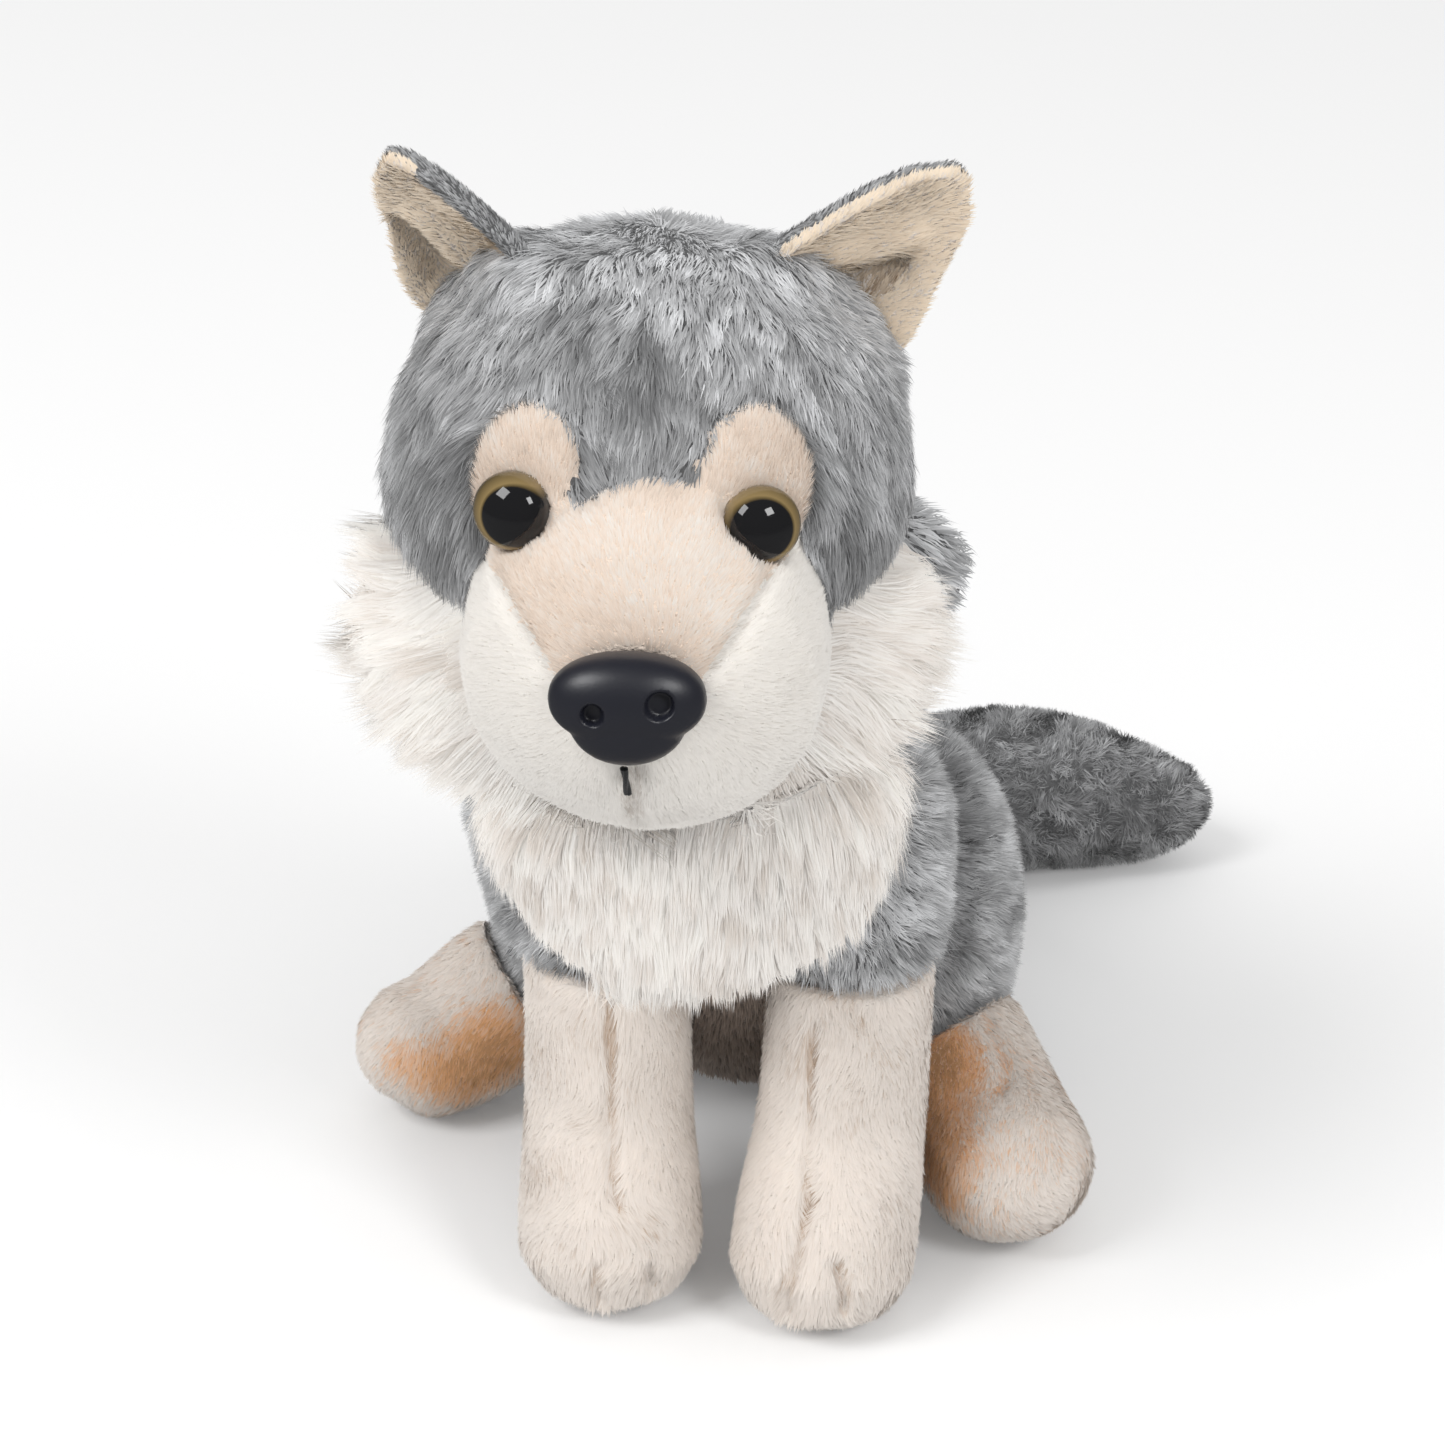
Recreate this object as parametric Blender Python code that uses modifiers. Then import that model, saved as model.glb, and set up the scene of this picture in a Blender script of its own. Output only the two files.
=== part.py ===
"""A sitting plush wolf: its sewn and stuffed fabric pieces, with moulded safety eyes and nose.

Run with: blender --background --python part.py
Metres, +Z up. The wolf faces -Y, its own left side is +X, and it sits on z = 0.
"""

import math

import bmesh
import bpy
import numpy as np
from mathutils import Matrix, Vector
from mathutils.bvhtree import BVHTree

# Gap between sewn neighbours, and how far soles and rump sink in where they meet the floor
SEAM_GAP = 0.0003
SOLE_FLAT = 0.0016
BASE_FLAT = 0.0030

# Head: a ball on the neck, turned a little to the wolf's left and tilted
HEAD_WIDTH = 0.103
HEAD_DEPTH = 0.096
HEAD_HEIGHT = 0.100
HEAD_X = -0.010
HEAD_Y = -0.022
HEAD_ABOVE_NECK = 0.043
HEAD_TURN = math.radians(8.0)
HEAD_TILT = math.radians(1.8)
HEAD_SEAM_BACK = 0.003
HEAD_SEAM_LEAN = math.radians(24.0)
HEAD_BACK_STEP = 0.0008

# Cheek ruff: the white lower part of the head
RUFF_DROP = 0.0115
RUFF_HALF_WIDTH = 0.0555
RUFF_HALF_DEPTH = 0.0460
RUFF_LENGTH = 0.050
RUFF_NECK_HALF_WIDTH = 0.038

# Muzzle: measured from the head's own centre
MUZZLE_REACH = 0.0250
MUZZLE_HALF_WIDTH = 0.0340
MUZZLE_HALF_HEIGHT = 0.0370
MUZZLE_DROP = 0.0145
MUZZLE_SHIFT = 0.0018
MUZZLE_ROUND = 0.0225
BRIDGE_HALF_ANGLE = math.radians(64.0)

# Eyes: moulded domes on a stem, held from inside by a lock washer
EYE_DIAMETER = 0.0142
EYE_DOME = 0.0052
EYE_RIM = 0.0012
EYE_STEM_DIAMETER = 0.0040
EYE_STEM_LENGTH = 0.0125
EYE_PROUD = 0.0032
EYE_SIDE = {"left": math.radians(26.0), "right": math.radians(27.0)}
EYE_RISE = {"left": math.radians(14.5), "right": math.radians(15.0)}
WASHER_DIAMETER = 0.0120
WASHER_THICKNESS = 0.0012
WASHER_DEPTH = 0.0060

# Brow patches: short-pile ovals that frame the eyes
BROW_HALF_WIDTH = 0.0112
BROW_HALF_HEIGHT = 0.0138
BROW_THICKNESS = 0.0030
BROW_ABOVE_EYE = {"left": math.radians(9.0), "right": math.radians(6.5)}
BROW_OUTWARD = {"left": math.radians(2.5), "right": math.radians(0.5)}

# Nose: a moulded plastic nose with two nostrils on a stem
NOSE_WIDTH = 0.0275
NOSE_HEIGHT = 0.0205
NOSE_DEPTH = 0.0150
NOSE_CHIN_SHARE = 0.68
NOSE_RISE = 0.0085
NOSE_PITCH = math.radians(14.0)
NOSTRIL_DIAMETER = 0.0040
NOSTRIL_SPACING = 0.0124
NOSE_STEM_DIAMETER = 0.0050
NOSE_STEM_LENGTH = 0.0160
NOSE_WASHER_DIAMETER = 0.0150
NOSE_WASHER_DEPTH = 0.0115
STITCH_LENGTH = 0.0062
STITCH_DIAMETER = 0.0016
STITCH_DROP = 0.0160

# Ears: a grey back and a cream lining, cupped forwards
EAR_LENGTH = 0.0320
EAR_HALF_WIDTH = 0.0225
EAR_TIP_RADIUS = 0.0062
EAR_ROOT = 0.0090
EAR_CUP = math.radians(58.0)
EAR_LAYER = 0.0024
EAR_PLACE = {"left": (0.63, 0.28, 0.70), "right": (-0.57, 0.20, 0.74)}
EAR_LEAN = {"left": math.radians(47.0), "right": math.radians(-34.0)}
EAR_PITCH = {"left": math.radians(4.0), "right": math.radians(28.0)}
EAR_OPEN = {"left": math.radians(20.0), "right": math.radians(-24.0)}

# Body: from the rump to the neck
BODY_HALF_WIDTH = 0.0450
RUMP_HALF_WIDTH = 0.0430
BODY_HALF_DEPTH = 0.0470
NECK_HEIGHT = 0.128
NECK_HALF_WIDTH = 0.0350
RUMP_BACK = 0.094
RUMP_SHIFT = 0.003
BELLY_LINE = 0.036

# Chest bib: a pad that narrows to a tongue between the forelegs
BIB_HALF_WIDTH = 0.0430
BIB_THICKNESS = 0.0140
BIB_BOTTOM = 0.0745
BIB_SHIFT = 0.0185

# Forelegs, from the sleeve's seam to the toes, and the grey shoulders above them
FORELEG_HALF_WIDTH = 0.0170
FOREPAW_HALF_WIDTH = 0.0190
FOREPAW_HALF_DEPTH = 0.0195
SLEEVE_HEIGHT = 0.0700
SLEEVE_THICKNESS = 0.0022
SHOULDER_HEIGHT = 0.1060
SHOULDER_HALF_DEPTH = 0.0225
FORELEG_PLACE = {"left": (0.0300, -0.0240), "right": (-0.0180, -0.0290)}
FORETOE_PLACE = {"left": (0.0277, -0.0510), "right": (-0.0136, -0.0510)}
SHOULDER_PLACE = {"left": (0.0305, -0.0120), "right": (-0.0325, -0.0140)}

# Haunches and hind feet
HAUNCH_HALF_WIDTH = 0.0250
HAUNCH_HALF_LENGTH = 0.0360
HAUNCH_HEIGHT = 0.0850
HAUNCH_PLACE = {"left": (0.0330, 0.0350), "right": (-0.0310, 0.0380)}
HIND_ANKLE = 0.0180
HIND_FOOT = {"left": 0.0182, "right": 0.0164}
HIND_TOE = {"left": (0.0705, -0.0310), "right": (-0.0775, -0.0005)}

# Tail: a fat leaf that lies on the floor behind the wolf's left haunch
TAIL_HALF_THICKNESS = 0.0205
TAIL_ROOT_RADIUS = 0.0125
TAIL_BEND = (0.0215, 0.1130)
TAIL_MIDDLE = (0.0470, 0.1290)
TAIL_TIP = (0.0930, 0.1380)

# Nape mane: a band of long grey pile behind the head
MANE_HALF_HEIGHT = 0.0195
MANE_THICKNESS = 0.0140
MANE_HEIGHT = 0.1310
MANE_BACK = 0.0200
MANE_CORNER = (0.0460, 0.0270, 0.1240)

SIDES = {"left": 1.0, "right": -1.0}
TURN_START = math.radians(7.0)
ACROSS = Vector((1, 0, 0))
UPWARDS = Vector((0, 0, 1))

GREY = (0.245, 0.250, 0.262)
WHITE = (0.800, 0.760, 0.715)
CREAM = (0.720, 0.640, 0.555)
TAN = (0.680, 0.520, 0.405)
IVORY = (0.790, 0.755, 0.690)
BROWN_GREY = (0.400, 0.340, 0.300)
BLACK = (0.010, 0.010, 0.012)
AMBER = (0.180, 0.110, 0.030)
NATURAL = (0.750, 0.740, 0.700)


def clear_scene():
    """Removes whatever the startup scene holds."""
    for thing in list(bpy.data.objects):
        bpy.data.objects.remove(thing)


def new_collection(name, hidden=False):
    """A collection in the scene; the cutters' one stays out of renders."""
    made = bpy.data.collections.new(name)
    made.hide_render = hidden
    bpy.context.scene.collection.children.link(made)
    return made


def material(name, colour, roughness):
    """One Principled material for each fabric or plastic."""
    made = bpy.data.materials.new(name)
    made.use_nodes = True
    shader = made.node_tree.nodes["Principled BSDF"]
    shader.inputs["Base Color"].default_value = (*colour, 1.0)
    shader.inputs["Roughness"].default_value = roughness
    shader.inputs["Metallic"].default_value = 0.0
    return made


clear_scene()
WOLF = new_collection("plush_wolf")
CUTTERS = new_collection("cutters", hidden=True)

GREY_PILE = material("grey_pile", GREY, 0.95)
WHITE_PILE = material("white_long_pile", WHITE, 0.95)
IVORY_VELOUR = material("ivory_velour", IVORY, 0.9)
TAN_PLUSH = material("tan_plush", TAN, 0.92)
CREAM_PLUSH = material("cream_plush", CREAM, 0.92)
BELLY_PLUSH = material("belly_plush", BROWN_GREY, 0.95)
EYE_PLASTIC = material("eye_plastic", AMBER, 0.08)
NOSE_PLASTIC = material("nose_plastic", BLACK, 0.25)
WASHER_PLASTIC = material("washer_plastic", NATURAL, 0.5)
THREAD = material("black_thread", BLACK, 0.7)

# The head's own frame: its centre, with the turn and the tilt of the face
HEAD = (
    Matrix.Translation((HEAD_X, HEAD_Y, NECK_HEIGHT + HEAD_ABOVE_NECK))
    @ Matrix.Rotation(HEAD_TURN, 4, "Z")
    @ Matrix.Rotation(HEAD_TILT, 4, "Y")
)
HEAD_TURNED = HEAD.to_3x3()
HEAD_ACROSS = HEAD_TURNED @ ACROSS
HEAD_UP = HEAD_TURNED @ UPWARDS
HEAD_AHEAD = HEAD_TURNED @ Vector((0, -1, 0))
HEAD_HALF = Vector((HEAD_WIDTH, HEAD_DEPTH, HEAD_HEIGHT)) / 2


# Making and cutting of stuffed forms
def add_mesh(name, bm, collection, finish=None):
    """Turns a bmesh into an object of this collection."""
    mesh = bpy.data.meshes.new(name)
    bm.to_mesh(mesh)
    bm.free()
    made = bpy.data.objects.new(name, mesh)
    return placed(made, collection, finish)


def placed(made, collection, finish):
    """Links an object, as a finished piece with its material or as a hidden cutter."""
    collection.objects.link(made)
    if collection is CUTTERS:
        made.hide_render = True
        made.display_type = "WIRE"
    else:
        made.data.materials.append(finish)
        made.data.shade_smooth()
    return made


def curve_through(stations, count):
    """Rows of a smooth curve through the stations, with its ends on the first and the last."""
    rows = np.array(stations, float)
    ends = np.vstack([2 * rows[0] - rows[1], rows, 2 * rows[-1] - rows[-2]])
    found = []
    for t in np.linspace(0, len(rows) - 1, count):
        i = min(int(t), len(rows) - 2)
        u = t - i
        a, b, c, d = ends[i : i + 4]
        bend = (2 * a - 5 * b + 4 * c - d) * u**2 + (3 * b - a - 3 * c + d) * u**3
        found.append(0.5 * (2 * b + (c - a) * u + bend))
    return np.array(found)


def stuffed(stations, across, round_start, round_end, around=20, along=12, on_floor=False):
    """The bmesh of a stuffed form: a sphere wrapped round a spine.

    A station is x, y, z, half the width and half the depth. The width lies along across, as near
    as the spine lets it. The ends are rounded over round_start and round_end of the spine.
    """
    rows = curve_through(stations, 160)
    steps = np.linalg.norm(np.diff(rows[:, :3], axis=0), axis=1)
    way = np.concatenate([[0.0], np.cumsum(steps)])
    from_start = np.clip(way / round_start, 0, 1)
    from_end = np.clip((way[-1] - way) / round_end, 0, 1)
    cap = np.sqrt(1 - (1 - from_start) ** 2) * np.sqrt(1 - (1 - from_end) ** 2)
    girth = cap * rows[:, 3:].mean(1)
    outline = np.concatenate([[0.0], np.cumsum(np.hypot(np.diff(way), np.diff(girth)))])
    ring_way = np.interp(np.linspace(0, outline[-1], along + 1), outline, way)
    ahead_rows = np.gradient(rows[:, :3], axis=0)

    bm = bmesh.new()
    bmesh.ops.create_uvsphere(bm, u_segments=around, v_segments=along, radius=1.0)
    for vertex in bm.verts:
        ring = round(math.acos(max(-1.0, min(1.0, vertex.co.z))) / math.pi * along)
        here = ring_way[ring]
        x, y, z, half_width, half_depth = (float(np.interp(here, way, column)) for column in rows.T)
        ahead = Vector([np.interp(here, way, column) for column in ahead_rows.T]).normalized()
        side = (across - ahead * across.dot(ahead)).normalized()
        rise = side.cross(ahead)
        shrink = float(np.interp(here, way, cap))
        flat = Vector((vertex.co.x, vertex.co.y))
        turn = flat.normalized() if flat.length > 1e-6 else flat
        spread = side * (turn.x * half_width) + rise * (turn.y * half_depth)
        vertex.co = Vector((x, y, z)) + spread * shrink
        if on_floor:
            vertex.co.z = max(vertex.co.z, 0.0)
    bmesh.ops.triangulate(bm, faces=bm.faces[:])
    return bm


def pinch(bm, line, depth, reach):
    """Draws the surface in along a stitched line, by depth on the line and less out to about reach."""
    bm.normal_update()
    points = [Vector(p) for p in line]
    for vertex in bm.verts:
        away = min(distance_to(vertex.co, a, b) for a, b in zip(points[:-1], points[1:]))
        if away < 2 * reach:
            vertex.co -= vertex.normal * depth * math.exp(-((away / reach) ** 2))
    return bm


def distance_to(point, start, end):
    """How far a point lies from the straight stretch between start and end."""
    run = end - start
    share = max(0.0, min(1.0, (point - start).dot(run) / run.length_squared))
    return (point - start - run * share).length


def grown(bm, by):
    """A copy of a smooth form with its surface moved out by this much."""
    made = bm.copy()
    made.normal_update()
    for vertex, move in [(v, v.normal * by) for v in made.verts]:
        vertex.co += move
    return made


def take_away(piece, bm):
    """Cuts this bmesh's space out of the piece."""
    name = f"{piece.name}_cutter_{len(piece.modifiers)}"
    cut = piece.modifiers.new(name, "BOOLEAN")
    cut.operation = "DIFFERENCE"
    cut.solver = "EXACT"
    cut.object = add_mesh(name, bm, CUTTERS)
    return piece


def clear_of(piece, *forms):
    """Cuts the piece back to one seam gap from each of these forms."""
    for form in forms:
        take_away(piece, grown(form, SEAM_GAP))
    return piece


def half_space(point, facing, size=0.5):
    """The bmesh of a large block with one face on point, which fills the side that facing points to."""
    bm = bmesh.new()
    bmesh.ops.create_cube(bm, size=size)
    turn = facing.to_track_quat("Z", "Y").to_matrix().to_4x4()
    bm.transform(Matrix.Translation(point) @ turn @ Matrix.Translation((0, 0, size / 2)))
    return bm


def trim(piece, point, facing):
    """Cuts the piece off on the side of a plane that facing points to, half a seam gap short of it."""
    facing = Vector(facing).normalized()
    return take_away(piece, half_space(Vector(point) - facing * SEAM_GAP / 2, facing))


def ball(half, place, around, along):
    """The bmesh of an ellipsoid with these half sizes, its poles on the place's Z axis."""
    bm = bmesh.new()
    bmesh.ops.create_uvsphere(bm, u_segments=around, v_segments=along, radius=1.0)
    bm.transform(place @ Matrix.Diagonal((*half, 1.0)))
    bmesh.ops.triangulate(bm, faces=bm.faces[:])
    return bm


def turned(profile, place, steps, closed=False):
    """The bmesh of a round piece: a profile of (radius, height) spun about its axis and put in place."""
    bm = bmesh.new()
    points = [bm.verts.new((radius, 0.0, height)) for radius, height in profile]
    ends = points[1:] + points[:1] if closed else points[1:]
    edges = [bm.edges.new(pair) for pair in zip(points, ends)]
    bmesh.ops.spin(
        bm,
        geom=points + edges,
        cent=(0, 0, 0),
        axis=(0, 0, 1),
        angle=math.tau,
        steps=steps,
        use_merge=True,
    )
    bmesh.ops.remove_doubles(bm, verts=bm.verts[:], dist=0.00001)
    bmesh.ops.recalc_face_normals(bm, faces=bm.faces[:])
    bm.transform(place @ Matrix.Rotation(TURN_START, 4, "Z"))
    bmesh.ops.triangulate(bm, faces=bm.faces[:])
    return bm


# Forms of the head, in its own frame until they are put in place
def head_ball(step_in=0.0):
    """The head's stuffed ball, from its back to the face."""
    width, depth, height = HEAD_HALF - Vector((step_in, step_in, step_in))
    spine = [(0, depth, 0, width, height), (0, 0, 0, width, height), (0, -depth, 0, width, height)]
    bm = stuffed(spine, ACROSS, depth, depth, 20, 13)
    bm.transform(HEAD)
    return bm


def on_head(direction):
    """(point, outward normal) where this direction of the head's own frame leaves its ball."""
    ray = Vector(direction).normalized()
    reach = 1 / math.sqrt(sum((ray[i] / HEAD_HALF[i]) ** 2 for i in range(3)))
    point = ray * reach
    normal = Vector([point[i] / HEAD_HALF[i] ** 2 for i in range(3)]).normalized()
    return HEAD @ point, HEAD_TURNED @ normal


def facing_out(point, normal, up):
    """A frame at point with +Z along the normal and +Y as near up as it can be."""
    z = normal.normalized()
    x = up.cross(z).normalized()
    return Matrix.Translation(point) @ Matrix((x, z.cross(x), z)).transposed().to_4x4()


def face_direction(side, rise):
    """The direction in the head's frame at these angles from straight ahead."""
    return Vector((math.sin(side) * math.cos(rise), -math.cos(side) * math.cos(rise), math.sin(rise)))


def muzzle_form():
    """The whole snout before its panels are parted, from inside the head to its tip."""
    face = -HEAD_DEPTH / 2
    width, height, drop = MUZZLE_HALF_WIDTH, MUZZLE_HALF_HEIGHT, -MUZZLE_DROP
    spine = [
        (MUZZLE_SHIFT, face * 0.35, drop * 0.8, width * 0.92, height * 0.98),
        (MUZZLE_SHIFT, face * 0.78, drop, width, height),
        (MUZZLE_SHIFT * 0.8, face - MUZZLE_REACH * 0.25, drop * 1.16, width * 0.97, height * 0.88),
        (MUZZLE_SHIFT * 0.3, face - MUZZLE_REACH * 0.68, drop * 1.24, width * 0.82, height * 0.70),
        (0, face - MUZZLE_REACH, drop * 1.24, width * 0.66, height * 0.54),
    ]
    bm = stuffed(spine, ACROSS, 0.012, MUZZLE_ROUND, 20, 11)
    bm.transform(HEAD)
    return bm


def ruff_form():
    """The cheeks and throat: a ring of long pile that starts flush with the head and narrows to the neck."""
    level = math.sqrt(1 - (RUFF_DROP / HEAD_HALF.z) ** 2)
    width, depth = HEAD_HALF.x * level, HEAD_HALF.y * level
    spine = [
        (0, 0, 0, width * 0.96, depth * 0.96),
        (0, 0, -RUFF_DROP, width, depth),
        (0, 0, -RUFF_DROP - RUFF_LENGTH * 0.26, RUFF_HALF_WIDTH, RUFF_HALF_DEPTH),
        (0, 0, -RUFF_DROP - RUFF_LENGTH * 0.62, RUFF_HALF_WIDTH * 0.89, RUFF_HALF_DEPTH * 0.92),
        (0, 0, -RUFF_DROP - RUFF_LENGTH, RUFF_NECK_HALF_WIDTH, RUFF_HALF_DEPTH * 0.78),
    ]
    bm = stuffed(spine, ACROSS, 0.003, 0.018, 22, 10)
    bm.transform(HEAD)
    return bm


# Forms of the body and the limbs
def body_form():
    """The torso, which leans from the rump on the floor up to the neck."""
    width, depth, rump = BODY_HALF_WIDTH, BODY_HALF_DEPTH, RUMP_HALF_WIDTH
    spine = [
        (RUMP_SHIFT, RUMP_BACK, rump * 0.93, rump * 0.9, rump * 0.9),
        (RUMP_SHIFT, RUMP_BACK * 0.72, rump - BASE_FLAT, rump, rump),
        (RUMP_SHIFT, RUMP_BACK * 0.40, depth * 1.06, width, depth),
        (0, RUMP_BACK * 0.10, NECK_HEIGHT * 0.56, width, depth * 0.84),
        (HEAD_X * 0.2, HEAD_Y * 0.65, NECK_HEIGHT * 0.78, width * 0.96, depth * 0.66),
        (HEAD_X * 0.6, HEAD_Y, NECK_HEIGHT, NECK_HALF_WIDTH, NECK_HALF_WIDTH * 0.9),
    ]
    return stuffed(spine, ACROSS, 0.040, 0.012, 20, 12, on_floor=True)


def bib_form():
    """The chest's white bib: a pad from under the chin down to a tongue between the forelegs."""
    front = HEAD_Y - 0.014
    span = NECK_HEIGHT - BIB_BOTTOM
    width, thick = BIB_HALF_WIDTH, BIB_THICKNESS
    spine = [
        (HEAD_X * 0.4, front + 0.006, NECK_HEIGHT, width * 0.84, thick * 1.3),
        (0, front - 0.002, NECK_HEIGHT - span * 0.30, width, thick * 1.35),
        (BIB_SHIFT * 0.3, front - 0.002, NECK_HEIGHT - span * 0.58, width * 0.97, thick * 1.25),
        (BIB_SHIFT * 0.7, front - 0.003, NECK_HEIGHT - span * 0.82, width * 0.78, thick * 1.08),
        (BIB_SHIFT, front - 0.003, BIB_BOTTOM, width * 0.48, thick * 0.80),
    ]
    return stuffed(spine, ACROSS, 0.008, 0.010, 20, 10)


def shoulder_form(side):
    """A grey shoulder that narrows into the sleeve over the foreleg."""
    leg_x, leg_y = FORELEG_PLACE[side]
    top_x, top_y = SHOULDER_PLACE[side]
    sleeve = FORELEG_HALF_WIDTH + SLEEVE_THICKNESS
    drop = SHOULDER_HEIGHT - SLEEVE_HEIGHT
    middle_x, middle_y = leg_x * 0.5 + top_x * 0.5, leg_y * 0.6 + top_y * 0.4
    spine = [
        (top_x, top_y + 0.004, SHOULDER_HEIGHT + 0.008, sleeve * 0.80, SHOULDER_HALF_DEPTH * 0.80),
        (top_x, top_y, SHOULDER_HEIGHT - drop * 0.15, sleeve * 0.92, SHOULDER_HALF_DEPTH),
        (middle_x, middle_y, SHOULDER_HEIGHT - drop * 0.62, sleeve, SHOULDER_HALF_DEPTH * 0.97),
        (leg_x, leg_y, SLEEVE_HEIGHT, sleeve, sleeve * 1.02),
        (leg_x, leg_y, SLEEVE_HEIGHT - 0.016, sleeve, sleeve),
    ]
    return stuffed(spine, ACROSS, 0.016, 0.004, 16, 10)


def foreleg_form(side):
    """A cream foreleg: a boot-shaped paw, a seam down its front and two creases between the toes."""
    top_x, top_y = FORELEG_PLACE[side]
    toe_x, toe_y = FORETOE_PLACE[side]
    leg, paw, depth = FORELEG_HALF_WIDTH, FOREPAW_HALF_WIDTH, FOREPAW_HALF_DEPTH

    def between(share, height, wide, deep):
        return (top_x + (toe_x - top_x) * share, top_y + (toe_y - top_y) * share, height, wide, deep)

    spine = [
        between(0.0, SLEEVE_HEIGHT + 0.012, leg, leg),
        between(0.0, SLEEVE_HEIGHT, leg, leg),
        between(0.12, SLEEVE_HEIGHT * 0.70, leg * 1.01, leg),
        between(0.28, SLEEVE_HEIGHT * 0.48, leg * 1.03, leg),
        between(0.52, paw * 1.28, paw * 0.97, depth * 0.93),
        between(0.82, paw * 0.62, paw, depth),
        between(1.0, -SOLE_FLAT, paw * 0.96, depth * 0.96),
    ]
    bm = stuffed(spine, ACROSS, 0.004, paw * 0.66, 20, 14, on_floor=True)
    front = top_y - leg
    seam_end = between(0.4, paw * 1.7, 0, 0)
    pinch(bm, [(top_x, front, SLEEVE_HEIGHT), (seam_end[0], seam_end[1] - leg, seam_end[2])], 0.0012, 0.0022)
    for toe in (-0.36, 0.36):
        x = toe_x + toe * paw
        pinch(bm, [(x, toe_y - depth, 0.0), (x, toe_y - depth * 0.9, paw * 0.9)], 0.0022, 0.0042)
    return bm


def haunch_form(side):
    """A grey thigh, folded up beside the rump."""
    x, y = HAUNCH_PLACE[side]
    wide, long, high = HAUNCH_HALF_WIDTH, HAUNCH_HALF_LENGTH, HAUNCH_HEIGHT / 2
    spine = [
        (x, y + long, high, wide * 0.92, high * 0.95),
        (x, y, high, wide, high),
        (x + SIDES[side] * 0.003, y - long, high * 0.86, wide * 0.92, high * 0.9),
    ]
    return stuffed(spine, ACROSS, long, long * 0.9, 16, 10, on_floor=True)


def hind_foot_form(side):
    """A cream hind leg and foot, splayed out from under the haunch."""
    hip_x, hip_y = HAUNCH_PLACE[side]
    toe = Vector((*HIND_TOE[side], 0))
    start = Vector((hip_x + SIDES[side] * 0.006, hip_y - HAUNCH_HALF_LENGTH * 0.25, 0))
    run = toe - start
    foot = HIND_FOOT[side]

    def along(share, height, wide, tall):
        place = start + run * share
        return (place.x, place.y, height, wide, tall)

    spine = [
        along(0.0, HIND_ANKLE * 1.40, HIND_ANKLE, HIND_ANKLE),
        along(0.30, HIND_ANKLE * 1.20, HIND_ANKLE, HIND_ANKLE),
        along(0.60, foot - SOLE_FLAT, foot, foot),
        along(0.82, foot * 0.98 - SOLE_FLAT, foot, foot * 0.98),
        along(1.0, foot * 0.84 - SOLE_FLAT, foot * 0.86, foot * 0.84),
    ]
    return stuffed(spine, run.cross(UPWARDS).normalized(), 0.010, foot * 1.05, 16, 12, on_floor=True)


def tail_form():
    """The tail, which leaves the rump, swells and tapers to a blunt tip."""
    thick = TAIL_HALF_THICKNESS
    reach_x, reach_y = (TAIL_MIDDLE[i] * 0.42 + TAIL_TIP[i] * 0.58 for i in (0, 1))
    spine = [
        (RUMP_SHIFT, RUMP_BACK - 0.016, thick * 1.6, TAIL_ROOT_RADIUS, TAIL_ROOT_RADIUS),
        (*TAIL_BEND, thick * 1.12, thick * 0.90, thick * 0.86),
        (*TAIL_MIDDLE, thick - SOLE_FLAT, thick, thick * 0.96),
        (reach_x, reach_y, thick * 0.80 - SOLE_FLAT, thick * 0.78, thick * 0.68),
        (*TAIL_TIP, thick * 0.74, thick * 0.34, thick * 0.30),
    ]
    return stuffed(spine, UPWARDS, 0.006, thick * 0.42, 16, 14, on_floor=True)


def mane_form():
    """The nape's band of long grey pile, whose corner stands out behind the left cheek."""
    corner_x, corner_y, corner_z = MANE_CORNER
    thick, high, height = MANE_THICKNESS, MANE_HALF_HEIGHT, MANE_HEIGHT
    spine = [
        (-corner_x * 1.10, corner_y * 0.40, height - 0.002, high * 0.55, thick * 0.35),
        (-corner_x * 0.70, MANE_BACK * 0.80, height, high, thick * 0.9),
        (HEAD_X * 0.4, MANE_BACK, height, high, thick),
        (corner_x * 0.62, MANE_BACK * 0.97, height, high, thick * 0.9),
        (corner_x, corner_y, corner_z, high * 0.55, thick * 0.35),
    ]
    return stuffed(spine, UPWARDS, 0.010, 0.008, 12, 10)


# Building of the sub-parts
def build_head(head, muzzle, ruff):
    """The grey front and back of the head, and the white cheeks under them."""
    front = add_mesh("head_front", head.copy(), WOLF, GREY_PILE)
    back = add_mesh("head_back", head_ball(HEAD_BACK_STEP), WOLF, GREY_PILE)
    cheeks = add_mesh("cheek_ruff", ruff.copy(), WOLF, WHITE_PILE)
    seam_point = HEAD @ Vector((0, HEAD_SEAM_BACK, 0))
    backwards = HEAD_TURNED @ Vector((0, math.cos(HEAD_SEAM_LEAN), -math.sin(HEAD_SEAM_LEAN)))
    cheek_point = HEAD @ Vector((0, 0, -RUFF_DROP))
    trim(front, seam_point, backwards)
    trim(front, cheek_point, -HEAD_UP)
    trim(back, seam_point, -backwards)
    trim(cheeks, seam_point, backwards)
    trim(cheeks, cheek_point, HEAD_UP)
    clear_of(cheeks, muzzle)
    return front


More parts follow.
